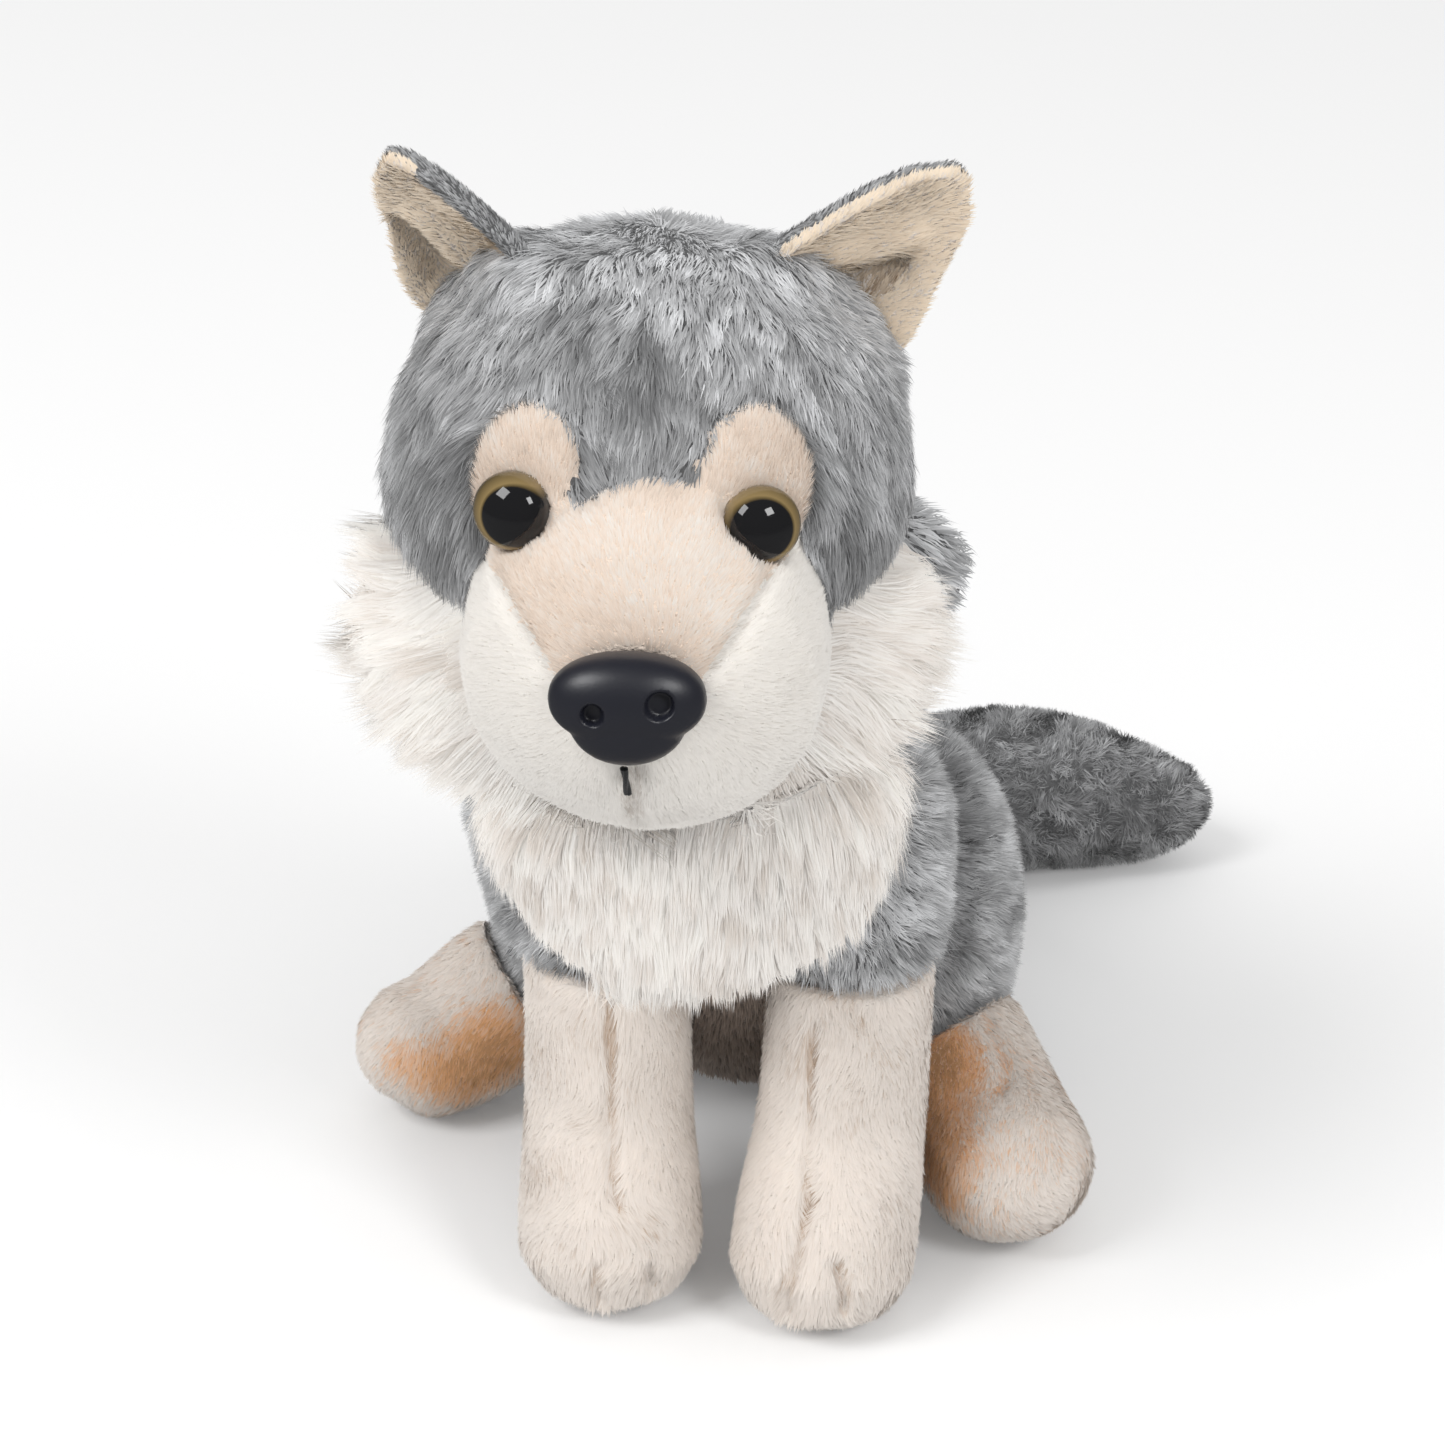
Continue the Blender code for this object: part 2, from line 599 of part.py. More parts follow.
def build_muzzle(head, muzzle):
    """The snout's bridge and its two side panels, parted along their seams."""
    point = HEAD @ Vector((0, -HEAD_DEPTH / 2, -MUZZLE_DROP * 1.16))
    bridge = add_mesh("muzzle_bridge", muzzle.copy(), WOLF, TAN_PLUSH)
    panels = [bridge]
    for side, sign in SIDES.items():
        below = HEAD_ACROSS * sign * math.cos(BRIDGE_HALF_ANGLE) - HEAD_UP * math.sin(BRIDGE_HALF_ANGLE)
        panel = add_mesh(f"muzzle_side_{side}", muzzle.copy(), WOLF, IVORY_VELOUR)
        trim(panel, point, -HEAD_ACROSS * sign)
        trim(panel, point, -below)
        trim(bridge, point, below)
        panels.append(panel)
    for panel in panels:
        clear_of(panel, head)
    return panels


def eye_profile(extra=0.0, pocket=()):
    """Half the section of an eye: dome, rim and stem, each grown by extra, with a pocket round the stem."""
    radius = EYE_DIAMETER / 2 + extra
    stem = EYE_STEM_DIAMETER / 2 + extra
    dome = [(radius * math.sin(t), extra + EYE_DOME * math.cos(t)) for t in np.linspace(0, math.pi / 2, 6)]
    end = -EYE_STEM_LENGTH - extra
    rim = [(radius * 0.97, -EYE_RIM - extra), (stem, -EYE_RIM - extra)]
    return [(0.0, dome[0][1]), *dome[1:], *rim, *pocket, (stem, end), (0.0, end)]


def washer_profile(diameter, hole, depth):
    """The section of a lock washer, thinner at its outer lip."""
    outer, inner = diameter / 2, hole / 2
    lip = -depth - WASHER_THICKNESS * 0.3
    bottom = -depth - WASHER_THICKNESS
    return [(inner, -depth), (outer, lip), (outer, bottom), (inner, bottom)]


def pocket_profile(diameter, stem_diameter, depth):
    """The step out from a stem's hole that a washer takes inside the stuffing."""
    outer, inner = diameter / 2 + SEAM_GAP, stem_diameter / 2 + SEAM_GAP
    top, bottom = SEAM_GAP - depth, -depth - WASHER_THICKNESS - SEAM_GAP
    return [(inner, top), (outer, top), (outer, bottom), (inner, bottom)]


def build_eyes(front, panels, head, muzzle):
    """Both eyes with their washers and brow patches, let into the head."""
    for side, sign in SIDES.items():
        turn, rise = sign * EYE_SIDE[side], EYE_RISE[side]
        point, normal = on_head(face_direction(turn, rise))
        seat = facing_out(point + normal * EYE_PROUD, normal, HEAD_UP)
        add_mesh(f"eye_{side}", turned(eye_profile(), seat, 16), WOLF, EYE_PLASTIC)
        ring = washer_profile(WASHER_DIAMETER, EYE_STEM_DIAMETER + 2 * SEAM_GAP, WASHER_DEPTH)
        add_mesh(f"eye_washer_{side}", turned(ring, seat, 12, closed=True), WOLF, WASHER_PLASTIC)
        pocket = pocket_profile(WASHER_DIAMETER, EYE_STEM_DIAMETER, WASHER_DEPTH)
        space = turned(eye_profile(SEAM_GAP, pocket), seat, 16)
        for piece in (front, *panels):
            take_away(piece, space.copy())

        turn += sign * BROW_OUTWARD[side]
        point, normal = on_head(face_direction(turn, rise + BROW_ABOVE_EYE[side]))
        half = (BROW_HALF_WIDTH, BROW_HALF_HEIGHT, BROW_THICKNESS)
        patch = ball(half, facing_out(point, normal, HEAD_UP), 16, 6)
        brow = add_mesh(f"brow_patch_{side}", patch, WOLF, TAN_PLUSH)
        clear_of(brow, head, muzzle)
        take_away(brow, space)


def nose_form(place):
    """The nose's moulded lobes: a wide top that steps in to a narrower chin."""
    bm = bmesh.new()
    bmesh.ops.create_uvsphere(bm, u_segments=16, v_segments=10, radius=1.0)
    for vertex in bm.verts:
        low = max(0.0, min(1.0, (-vertex.co.y - 0.12) / 0.24))
        step = low * low * (3 - 2 * low)
        vertex.co.x *= 1 - (1 - NOSE_CHIN_SHARE) * step
        vertex.co.z *= 1 - 0.16 * step
    bm.transform(place @ Matrix.Diagonal((NOSE_WIDTH / 2, NOSE_HEIGHT / 2, NOSE_DEPTH / 2, 1.0)))
    bmesh.ops.triangulate(bm, faces=bm.faces[:])
    return bm


def capsule(middle, direction, length, radius):
    """The bmesh of a short rod with round ends."""
    half = direction.normalized() * (length / 2)
    spine = [(*(middle + half * t), radius, radius) for t in (-1, 0, 1)]
    return stuffed(spine, HEAD_ACROSS, radius, radius, 8, 6)


def front_of(form, point, ahead):
    """Where a line that goes ahead from this point leaves the form."""
    far = point + ahead * 0.2
    return BVHTree.FromBMesh(form).ray_cast(far, -ahead)[0]


def build_nose(panels, muzzle):
    """The moulded nose on its stem, its washer, and the stitched mouth under it."""
    tip = -HEAD_DEPTH / 2 - MUZZLE_REACH
    height = NOSE_RISE - MUZZLE_DROP * 1.24
    place = HEAD @ Matrix.Translation((0, tip, height)) @ Matrix.Rotation(math.pi / 2 - NOSE_PITCH, 4, "X")
    form = nose_form(place)
    nose = add_mesh("nose", form.copy(), WOLF, NOSE_PLASTIC)
    for sign in SIDES.values():
        centre = Vector((sign * NOSTRIL_SPACING / 2, -NOSE_HEIGHT * 0.06, NOSE_DEPTH * 0.46))
        hole = Vector((1, 1, 1)) * NOSTRIL_DIAMETER / 2
        take_away(nose, ball(hole, place @ Matrix.Translation(centre), 10, 6))

    stem, end = NOSE_STEM_DIAMETER / 2, -NOSE_STEM_LENGTH
    join = nose.modifiers.new("stem", "BOOLEAN")
    join.operation = "UNION"
    join.solver = "EXACT"
    rod = turned([(0.0, 0.0), (stem, 0.0), (stem, end), (0.0, end)], place, 12)
    join.object = add_mesh("nose_stem", rod, CUTTERS)
    wide, deep = stem + SEAM_GAP, end - SEAM_GAP
    pocket = pocket_profile(NOSE_WASHER_DIAMETER, NOSE_STEM_DIAMETER, NOSE_WASHER_DEPTH)
    bore = turned([(0.0, 0.0), (wide, 0.0), *pocket, (wide, deep), (0.0, deep)], place, 12)
    ring = washer_profile(NOSE_WASHER_DIAMETER, NOSE_STEM_DIAMETER + 2 * SEAM_GAP, NOSE_WASHER_DEPTH)
    add_mesh("nose_washer", turned(ring, place, 12, closed=True), WOLF, WASHER_PLASTIC)

    middle = front_of(muzzle, HEAD @ Vector((0, 0, height - STITCH_DROP)), HEAD_AHEAD)
    down = HEAD_TURNED @ Vector((0, 0.25, -1))
    add_mesh("mouth_stitch", capsule(middle, down, STITCH_LENGTH, STITCH_DIAMETER / 2), WOLF, THREAD)
    groove = capsule(middle, down, STITCH_LENGTH + 2 * SEAM_GAP, STITCH_DIAMETER / 2 + SEAM_GAP)
    for panel in panels:
        clear_of(panel, form)
        take_away(panel, bore.copy())
        take_away(panel, groove.copy())


def ear_half_width(up):
    """Half an ear's width, flat out, from 0 at its root to 1 at its tip, where it is rounded."""
    wide = EAR_HALF_WIDTH * (1 - 0.72 * max(0.0, up - 0.2) / 0.8)
    tip = EAR_TIP_RADIUS / EAR_LENGTH
    if up > 1 - tip:
        wide *= 0.3 + 0.7 * math.sqrt(max(0.0, 1 - ((up - 1 + tip) / tip) ** 2))
    return wide


def ear_sheet(side, offset):
    """One layer of an ear, before its thickness: a leaf cupped towards the face, offset behind it."""
    bm = bmesh.new()
    bmesh.ops.create_grid(bm, x_segments=6, y_segments=7, size=1.0)
    for vertex in bm.verts:
        up = (vertex.co.y + 1) / 2
        cup = EAR_CUP * (1 - 0.70 * up)
        radius = ear_half_width(up) / cup
        angle = vertex.co.x * cup
        x = (radius + offset) * math.sin(angle)
        y = (radius + offset) * math.cos(angle) - radius
        vertex.co = Vector((x, y, up * (EAR_LENGTH + EAR_ROOT) - EAR_ROOT))
    point, _ = on_head(EAR_PLACE[side])
    lean = Matrix.Rotation(EAR_PITCH[side], 4, "X") @ Matrix.Rotation(EAR_LEAN[side], 4, "Y")
    opened = Matrix.Rotation(EAR_OPEN[side], 4, "Z")
    bm.transform(Matrix.Translation(point) @ HEAD_TURNED.to_4x4() @ lean @ opened)
    return bm


def build_ears(head):
    """Each ear's grey back and cream lining, sewn together and into the head's seam."""
    for side in SIDES:
        layers = (("ear_back", EAR_LAYER + SEAM_GAP, GREY_PILE), ("ear_lining", 0.0, CREAM_PLUSH))
        for name, offset, finish in layers:
            layer = add_mesh(f"{name}_{side}", ear_sheet(side, offset), WOLF, finish)
            wall = layer.modifiers.new("thickness", "SOLIDIFY")
            wall.thickness = EAR_LAYER
            wall.offset = 1.0
            clear_of(layer, head)


def build_body(torso, head, ruff, muzzle):
    """The torso's back, its belly panel and the bib on its chest."""
    body = add_mesh("body", torso.copy(), WOLF, GREY_PILE)
    belly = add_mesh("belly_panel", torso.copy(), WOLF, BELLY_PLUSH)
    line = Vector((0, RUMP_BACK * 0.5, BELLY_LINE))
    facing = Vector((0, -0.62, -0.78))
    trim(body, line, facing)
    trim(belly, line, -facing)
    for piece in (body, belly):
        clear_of(piece, ruff, head)
    bib = add_mesh("chest_bib", bib_form(), WOLF, WHITE_PILE)
    clear_of(bib, torso, ruff, muzzle)


def build_limbs(torso, ruff):
    """Shoulders, forelegs, haunches and hind feet, each cut back to the ones before it."""
    bib = bib_form()
    seam = Vector((0, 0, SLEEVE_HEIGHT))
    for side in SIDES:
        sleeve, leg, thigh, foot = (
            shoulder_form(side),
            foreleg_form(side),
            haunch_form(side),
            hind_foot_form(side),
        )
        shoulder_piece = add_mesh(f"shoulder_{side}", sleeve.copy(), WOLF, GREY_PILE)
        leg_piece = add_mesh(f"foreleg_{side}", leg.copy(), WOLF, CREAM_PLUSH)
        haunch_piece = add_mesh(f"haunch_{side}", thigh.copy(), WOLF, GREY_PILE)
        foot_piece = add_mesh(f"hind_foot_{side}", foot, WOLF, TAN_PLUSH)
        trim(shoulder_piece, seam, -UPWARDS)
        trim(leg_piece, seam, UPWARDS)
        clear_of(shoulder_piece, torso, bib, ruff)
        clear_of(leg_piece, torso, bib)
        clear_of(haunch_piece, torso, sleeve, leg)
        clear_of(foot_piece, thigh, torso, leg)


def build_tail_and_mane(torso, head, ruff):
    """The tail on the rump and the mane on the nape."""
    tail = add_mesh("tail", tail_form(), WOLF, GREY_PILE)
    clear_of(tail, torso, haunch_form("left"))
    mane = add_mesh("nape_mane", mane_form(), WOLF, GREY_PILE)
    clear_of(mane, head, ruff, torso)


def stand_on_origin():
    """Hangs everything on one empty, placed so that the origin is under the middle of the wolf's box."""
    root = bpy.data.objects.new("plush_wolf_origin", None)
    WOLF.objects.link(root)
    bpy.context.view_layer.update()
    graph = bpy.context.evaluated_depsgraph_get()
    corners = []
    for piece in WOLF.objects:
        if piece.type == "MESH":
            corners += [Vector(corner) for corner in piece.evaluated_get(graph).bound_box]
    low = Vector([min(corner[i] for corner in corners) for i in range(3)])
    high = Vector([max(corner[i] for corner in corners) for i in range(3)])
    root.location = (-(low.x + high.x) / 2, -(low.y + high.y) / 2, -low.z)
    for piece in [*WOLF.objects, *CUTTERS.objects]:
        if piece is not root:
            piece.parent = root
    return root


def build_wolf():
    """Makes every piece, the ones that yield after the ones they yield to."""
    head, muzzle, ruff, torso = head_ball(), muzzle_form(), ruff_form(), body_form()
    front = build_head(head, muzzle, ruff)
    panels = build_muzzle(head, muzzle)
    build_eyes(front, panels, head, muzzle)
    build_nose(panels, muzzle)
    build_ears(head)
    build_body(torso, head, ruff, muzzle)
    build_limbs(torso, ruff)
    build_tail_and_mane(torso, head, ruff)
    return stand_on_origin()


ORIGIN = build_wolf()
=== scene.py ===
"""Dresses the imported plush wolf: pile fabric, plastic eyes and nose, stitching, studio floor and light."""

import math

import bmesh
import bpy
import numpy as np
from bpy.props import FloatProperty, FloatVectorProperty, IntProperty, PointerProperty
from mathutils import Matrix, Vector
from mathutils.bvhtree import BVHTree
from mathutils.kdtree import KDTree


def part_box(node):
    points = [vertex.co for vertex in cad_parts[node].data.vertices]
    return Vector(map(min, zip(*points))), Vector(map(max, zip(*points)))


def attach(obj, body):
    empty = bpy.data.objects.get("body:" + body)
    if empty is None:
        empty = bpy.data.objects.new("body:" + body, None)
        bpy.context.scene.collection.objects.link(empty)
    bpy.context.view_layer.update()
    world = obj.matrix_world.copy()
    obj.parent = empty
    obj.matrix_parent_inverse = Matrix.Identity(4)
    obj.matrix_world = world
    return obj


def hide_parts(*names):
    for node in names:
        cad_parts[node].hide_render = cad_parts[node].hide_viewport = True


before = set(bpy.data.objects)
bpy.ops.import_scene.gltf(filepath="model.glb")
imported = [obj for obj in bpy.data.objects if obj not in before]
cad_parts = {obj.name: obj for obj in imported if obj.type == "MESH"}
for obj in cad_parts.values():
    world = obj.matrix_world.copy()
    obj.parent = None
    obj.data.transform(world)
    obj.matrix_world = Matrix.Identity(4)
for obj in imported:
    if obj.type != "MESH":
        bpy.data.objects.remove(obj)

bl_info = {
    "name": "Plush wolf",
    "version": (1, 0, 0),
    "blender": (4, 5, 0),
    "location": "3D View > Sidebar > Plush wolf",
    "description": "Fabric, pile, eyes, nose and studio of a sitting plush wolf",
    "category": "Object",
}

SIDES = ("left", "right")
SNOUT_STRAND, LEG_STRAND, EAR_STRAND = 0.00037, 0.00043, 0.00042
PHOTO_SIGHT = (0.150, -0.853, 0.500)
LAMP_SIDE = (-0.35, -0.45, 0.80)
LAMPS = (("key_lamp", (-0.90, -0.75, 1.35), 0.72, 1.0), ("side_lamp", (0.75, -0.55, 0.85), 0.35, 0.32))


# Places that the sizes and combing refer to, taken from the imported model
def middle(node):
    """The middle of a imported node's box."""
    low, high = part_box(node)
    return (low + high) / 2


BROWS = {side: middle(f"brow_patch_{side}") for side in SIDES}
NOSE = middle("nose")
FACE_LOW, FACE_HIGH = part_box("head_front")
BACK_LOW, BACK_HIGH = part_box("head_back")
HEAD = Vector(((FACE_LOW.x + FACE_HIGH.x) / 2, (FACE_LOW.y + BACK_HIGH.y) / 2, (BACK_LOW.z + FACE_HIGH.z) / 2))
CROWN = Vector((HEAD.x + 0.002, HEAD.y + 0.009, FACE_HIGH.z + 0.001))
SNOUT = middle("muzzle_bridge")
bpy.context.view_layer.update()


class PileSizes(bpy.types.PropertyGroup):
    """Lengths and widths of the pile, and how closely it stands."""

    head_length: FloatProperty(
        name="Head pile", description="Length of the grey pile on the head", default=0.0068, unit="LENGTH"
    )
    ruff_length: FloatProperty(
        name="Cheek pile", description="Length of the white pile on the cheeks", default=0.0120, unit="LENGTH"
    )
    bib_length: FloatProperty(
        name="Chest pile", description="Length of the white pile on the chest", default=0.0095, unit="LENGTH"
    )
    coat_length: FloatProperty(
        name="Coat pile", description="Length of the grey pile on body and tail", default=0.0042, unit="LENGTH"
    )
    velour_length: FloatProperty(
        name="Velour pile", description="Length of the short pile on snout and legs", default=0.0019, unit="LENGTH"
    )
    strand_width: FloatProperty(
        name="Strand width", description="Width of a strand of long pile at its root", default=0.00042, unit="LENGTH"
    )
    density: FloatProperty(
        name="Density", description="Share of the full number of strands", default=1.0, min=0.05, max=1.0
    )
    seed: IntProperty(name="Seed", description="Start of the random placing of strands", default=7)


class WolfColours(bpy.types.PropertyGroup):
    """Colours of the fabrics and plastics."""

    grey: FloatVectorProperty(
        name="Grey", description="Middle tone of the grey pile", subtype="COLOR", size=3, default=(0.27, 0.272, 0.276)
    )
    white: FloatVectorProperty(
        name="White", description="Long white pile", subtype="COLOR", size=3, default=(0.86, 0.828, 0.793)
    )
    ivory: FloatVectorProperty(
        name="Ivory", description="Sides of the snout", subtype="COLOR", size=3, default=(0.795, 0.765, 0.722)
    )
    cream: FloatVectorProperty(
        name="Cream", description="Forelegs and ear linings", subtype="COLOR", size=3, default=(0.755, 0.695, 0.64)
    )
    tan: FloatVectorProperty(
        name="Tan", description="Bridge of the snout and brows", subtype="COLOR", size=3, default=(0.78, 0.662, 0.562)
    )
    rust: FloatVectorProperty(
        name="Rust", description="Sprayed shade on the hind feet", subtype="COLOR", size=3, default=(0.80, 0.45, 0.22)
    )
    belly: FloatVectorProperty(
        name="Belly", description="Underside", subtype="COLOR", size=3, default=(0.30, 0.24, 0.20)
    )
    iris: FloatVectorProperty(
        name="Iris", description="Ring round the pupil", subtype="COLOR", size=3, default=(0.190, 0.135, 0.058)
    )
    black: FloatVectorProperty(
        name="Black", description="Nose, pupils and thread", subtype="COLOR", size=3, default=(0.010, 0.010, 0.011)
    )


class StudioSizes(bpy.types.PropertyGroup):
    """The camera and the light."""

    azimuth: FloatProperty(
        name="Azimuth", description="How far round the camera stands", default=math.radians(10.0), subtype="ANGLE"
    )
    elevation: FloatProperty(
        name="Elevation", description="How far the camera looks down", default=math.radians(30.0), subtype="ANGLE"
    )
    distance: FloatProperty(
        name="Distance", description="From the camera to its target", default=0.9, unit="LENGTH"
    )
    lens: FloatProperty(name="Lens", description="Focal length in millimetres", default=113.4)
    target: FloatVectorProperty(
        name="Target",
        description="Point in the middle of the picture",
        subtype="TRANSLATION",
        size=3,
        default=(-0.0062756, -0.0237658, 0.105),
    )
    key: FloatProperty(name="Key light", description="Power of the large soft lamp", default=13.4)
    fill: FloatProperty(name="Fill light", description="Strength of the light from all round", default=0.66)
    mirrored: FloatProperty(name="Mirrored light", description="How bright the surround shows in gloss", default=0.10)
    floor: FloatVectorProperty(
        name="Floor", description="Colour of the floor", subtype="COLOR", size=3, default=(0.89, 0.89, 0.89)
    )
    floor_lift: FloatProperty(name="Floor lift", description="Glow of the floor for the camera alone", default=0.10)


SKINS = {}


# Node materials
def shader_of(name, roughness, sheen=0.0, coat=0.0, specular=0.5):
    """(material, node tree, shader) of a new Principled material whose plain values are set on the shader."""
    made = bpy.data.materials.new(name)
    made.use_nodes = True
    shader = made.node_tree.nodes["Principled BSDF"]
    shader.inputs["Roughness"].default_value = roughness
    shader.inputs["Sheen Weight"].default_value = sheen
    shader.inputs["Sheen Roughness"].default_value = 0.5
    shader.inputs["Coat Weight"].default_value = coat
    shader.inputs["Coat Roughness"].default_value = 0.04
    shader.inputs["Specular IOR Level"].default_value = specular
    return made, made.node_tree, shader


def ramp(tree, factor, stops):
    """A colour ramp with these (place, colour) stops, fed by a socket."""
    node = tree.nodes.new("ShaderNodeValToRGB")
    elements = node.color_ramp.elements
    while len(elements) > 1:
        elements.remove(elements[-1])
    elements[0].position = stops[0][0]
    elements[0].color = (*stops[0][1], 1.0)
    for place, colour in stops[1:]:
        elements.new(place).color = (*colour, 1.0)
    tree.links.new(factor, node.inputs["Fac"])
    return node.outputs["Color"]


def multiplied(tree, first, second, share=1.0):
    """The product of two colours, or of a share of it."""
    node = tree.nodes.new("ShaderNodeMix")
    node.data_type = "RGBA"
    node.blend_type = "MULTIPLY"
    node.inputs["Factor"].default_value = share
    tree.links.new(first, node.inputs["A"])
    tree.links.new(second, node.inputs["B"])
    return node.outputs["Result"]


def noise(tree, scale, detail=2.0, roughness=0.5):
    """A noise pattern in the piece's own metres."""
    place = tree.nodes.new("ShaderNodeTexCoord")
    node = tree.nodes.new("ShaderNodeTexNoise")
    node.inputs["Scale"].default_value = scale
    node.inputs["Detail"].default_value = detail
    node.inputs["Roughness"].default_value = roughness
    tree.links.new(place.outputs["Object"], node.inputs["Vector"])
    return node.outputs["Fac"]


def bumped(tree, shader, height, distance, strength=1.0):
    """Bump on the shader from a height pattern."""
    node = tree.nodes.new("ShaderNodeBump")
    node.inputs["Distance"].default_value = distance
    node.inputs["Strength"].default_value = strength
    tree.links.new(height, node.inputs["Height"])
    tree.links.new(node.outputs["Normal"], shader.inputs["Normal"])


def scaled(colour, by):
    """A colour made lighter or darker."""
    return tuple(min(0.95, part * by) for part in colour)


def blended(first, second, share):
    """A colour between two others."""
    return tuple(a + (b - a) * share for a, b in zip(first, second))


def pile_stops(colour, low, high):
    """Stops of a pile's tones, from its darkest strands to its lightest."""
    return [(0.0, scaled(colour, low)), (0.5, colour), (1.0, scaled(colour, high))]


def pile_material(name, stops, root=0.55, roughness=0.8, sheen=0.25):
    """Strands: their tone runs along U and their height from root to tip along V of their own map. Towards the root
    they are darker by root, as painted shade deep in the pile.
    """
    made, tree, shader = shader_of(name, roughness, sheen=sheen, specular=0.3)
    place = tree.nodes.new("ShaderNodeUVMap")
    place.uv_map = "OFBake"
    parts = tree.nodes.new("ShaderNodeSeparateXYZ")
    tree.links.new(place.outputs["UV"], parts.inputs["Vector"])
    tone = ramp(tree, parts.outputs["X"], stops)
    # painted shade: each strand darker towards its root, where the pile shades itself
    shade = ramp(tree, parts.outputs["Y"], [(0.0, (root,) * 3), (0.6, (0.96,) * 3), (1.0, (1.0,) * 3)])
    tree.links.new(multiplied(tree, tone, shade), shader.inputs["Base Color"])
    return made


def cloth_material(name, colour, depth=0.7, mottle=0.72, sheen=0.25):
    """The knitted ground under a pile, mottled and slightly rough. Its colour is scaled by depth: below one as painted
    shade deep in the pile, above one as painted light that evens out the shade in the gaps between strands.
    """
    made, tree, shader = shader_of(name, 0.9, sheen=sheen, specular=0.2)
    # depth below one is painted shade, depth above one is painted light in the gaps between strands
    stops = [(0.3, scaled(colour, depth * mottle)), (0.7, scaled(colour, depth))]
    tree.links.new(ramp(tree, noise(tree, 420.0, 3.0), stops), shader.inputs["Base Color"])
    bumped(tree, shader, noise(tree, 1600.0, 2.0), 0.0006)
    return made


# Making of pieces
def read(items, name, width=1, kind=float):
    """One value or row of each item of a mesh, as an array."""
    found = np.zeros(len(items) * width, kind)
    items.foreach_get(name, found)
    return found.reshape(-1, width) if width > 1 else found


def finished(piece):
    """Puts a piece in the scene, on the wolf's one body."""
    bpy.context.scene.collection.objects.link(piece)
    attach(piece, "root")
    return piece


def piece_of(bm, name, slot, nodes, *materials):
    """The smooth piece that a bmesh becomes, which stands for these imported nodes."""
    mesh = bpy.data.meshes.new(name)
    bm.to_mesh(mesh)
    bm.free()
    mesh.shade_smooth()
    for material in materials:
        mesh.materials.append(material)
    piece = finished(bpy.data.objects.new(name, mesh))
    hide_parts(*nodes)
    return piece


def copy_of(*nodes):
    """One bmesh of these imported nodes, each merged into a closed surface."""
    bm = bmesh.new()
    for node in nodes:
        bm.from_mesh(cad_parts[node].data)
    bmesh.ops.remove_doubles(bm, verts=bm.verts[:], dist=0.00001)
    return bm


def remeshed(bm, name, voxel):
    """A new mesh of even quads round a bmesh, without the small shells that lie inside it."""
    mesh = bpy.data.meshes.new(name)
    bm.to_mesh(mesh)
    bm.free()
    rough = bpy.data.objects.new(name, mesh)
    bpy.context.scene.collection.objects.link(rough)
    wrap = rough.modifiers.new("wrap", "REMESH")
    wrap.mode = "VOXEL"
    wrap.voxel_size = voxel
    graph = bpy.context.evaluated_depsgraph_get()
    made = bpy.data.meshes.new_from_object(rough.evaluated_get(graph))
    bpy.data.objects.remove(rough)
    bpy.data.meshes.remove(mesh)
    made.name = name
    out = bmesh.new()
    out.from_mesh(made)
    bpy.data.meshes.remove(made)
    keep_largest(out)
    return out


def keep_largest(bm):
    """Removes every separate shell but the one with the most vertices."""
    left = set(bm.verts)
    shells = []
    while left:
        start = left.pop()
        shell, edge = {start}, [start]
        while edge:
            here = edge.pop()
            for link in here.link_edges:
                other = link.other_vert(here)
                if other in left:
                    left.discard(other)
                    shell.add(other)
                    edge.append(other)
        shells.append(shell)
    shells.sort(key=len)
    small = [vertex for shell in shells[:-1] for vertex in shell]
    bmesh.ops.delete(bm, geom=small, context="VERTS")


def smoothed(bm, times, factor=0.5):
    """Evens out a surface."""
    for _ in range(times):
        bmesh.ops.smooth_vert(
            bm, verts=bm.verts[:], factor=factor, use_axis_x=True, use_axis_y=True, use_axis_z=True
        )


def to_line(points, line):
    """How far each of an array of points lies from a line of stretches."""
    best = np.full(len(points), 1e9)
    for start, end in zip(line[:-1], line[1:]):
        a = np.array(start)
        run = np.array(end) - a
        share = np.clip((points - a) @ run / max(run @ run, 1e-12), 0, 1)
        best = np.minimum(best, np.linalg.norm(points - a - share[:, None] * run, axis=1))
    return best


def places(bm):
    """The vertices' positions as an array."""
    return np.array([vertex.co for vertex in bm.verts])


# Stitched lines and creases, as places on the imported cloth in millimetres
LEG_SEAMS = {
    "left": [(19.3, -66.0, 70.9), (18.7, -65.5, 60.1), (18.4, -67.9, 47.6), (18.8, -71.9, 38.5), (20.7, -78.6, 31.5)],
    "right": [
        (-20.8, -69.1, 68.4),
        (-20.1, -70.3, 58.8),
        (-19.4, -72.5, 46.1),
        (-18.4, -76.1, 36.9),
        (-17.0, -81.9, 29.2),
    ],
}
TOE_CREASES = {
    "left": [
        [(20.7, -78.6, 31.5), (18.1, -86.2, 19.9), (17.3, -87.3, 14.6), (17.7, -87.3, 9.7)],
        [(27.7, -84.9, 21.4), (29.0, -86.6, 16.8), (28.7, -86.4, 11.3)],
    ],
    "right": [
        [(-19.2, -88.2, 18.5), (-19.5, -89.0, 13.5), (-19.2, -88.3, 8.6)],
        [(-8.9, -85.2, 16.2), (-8.8, -83.9, 10.4)],
    ],
}
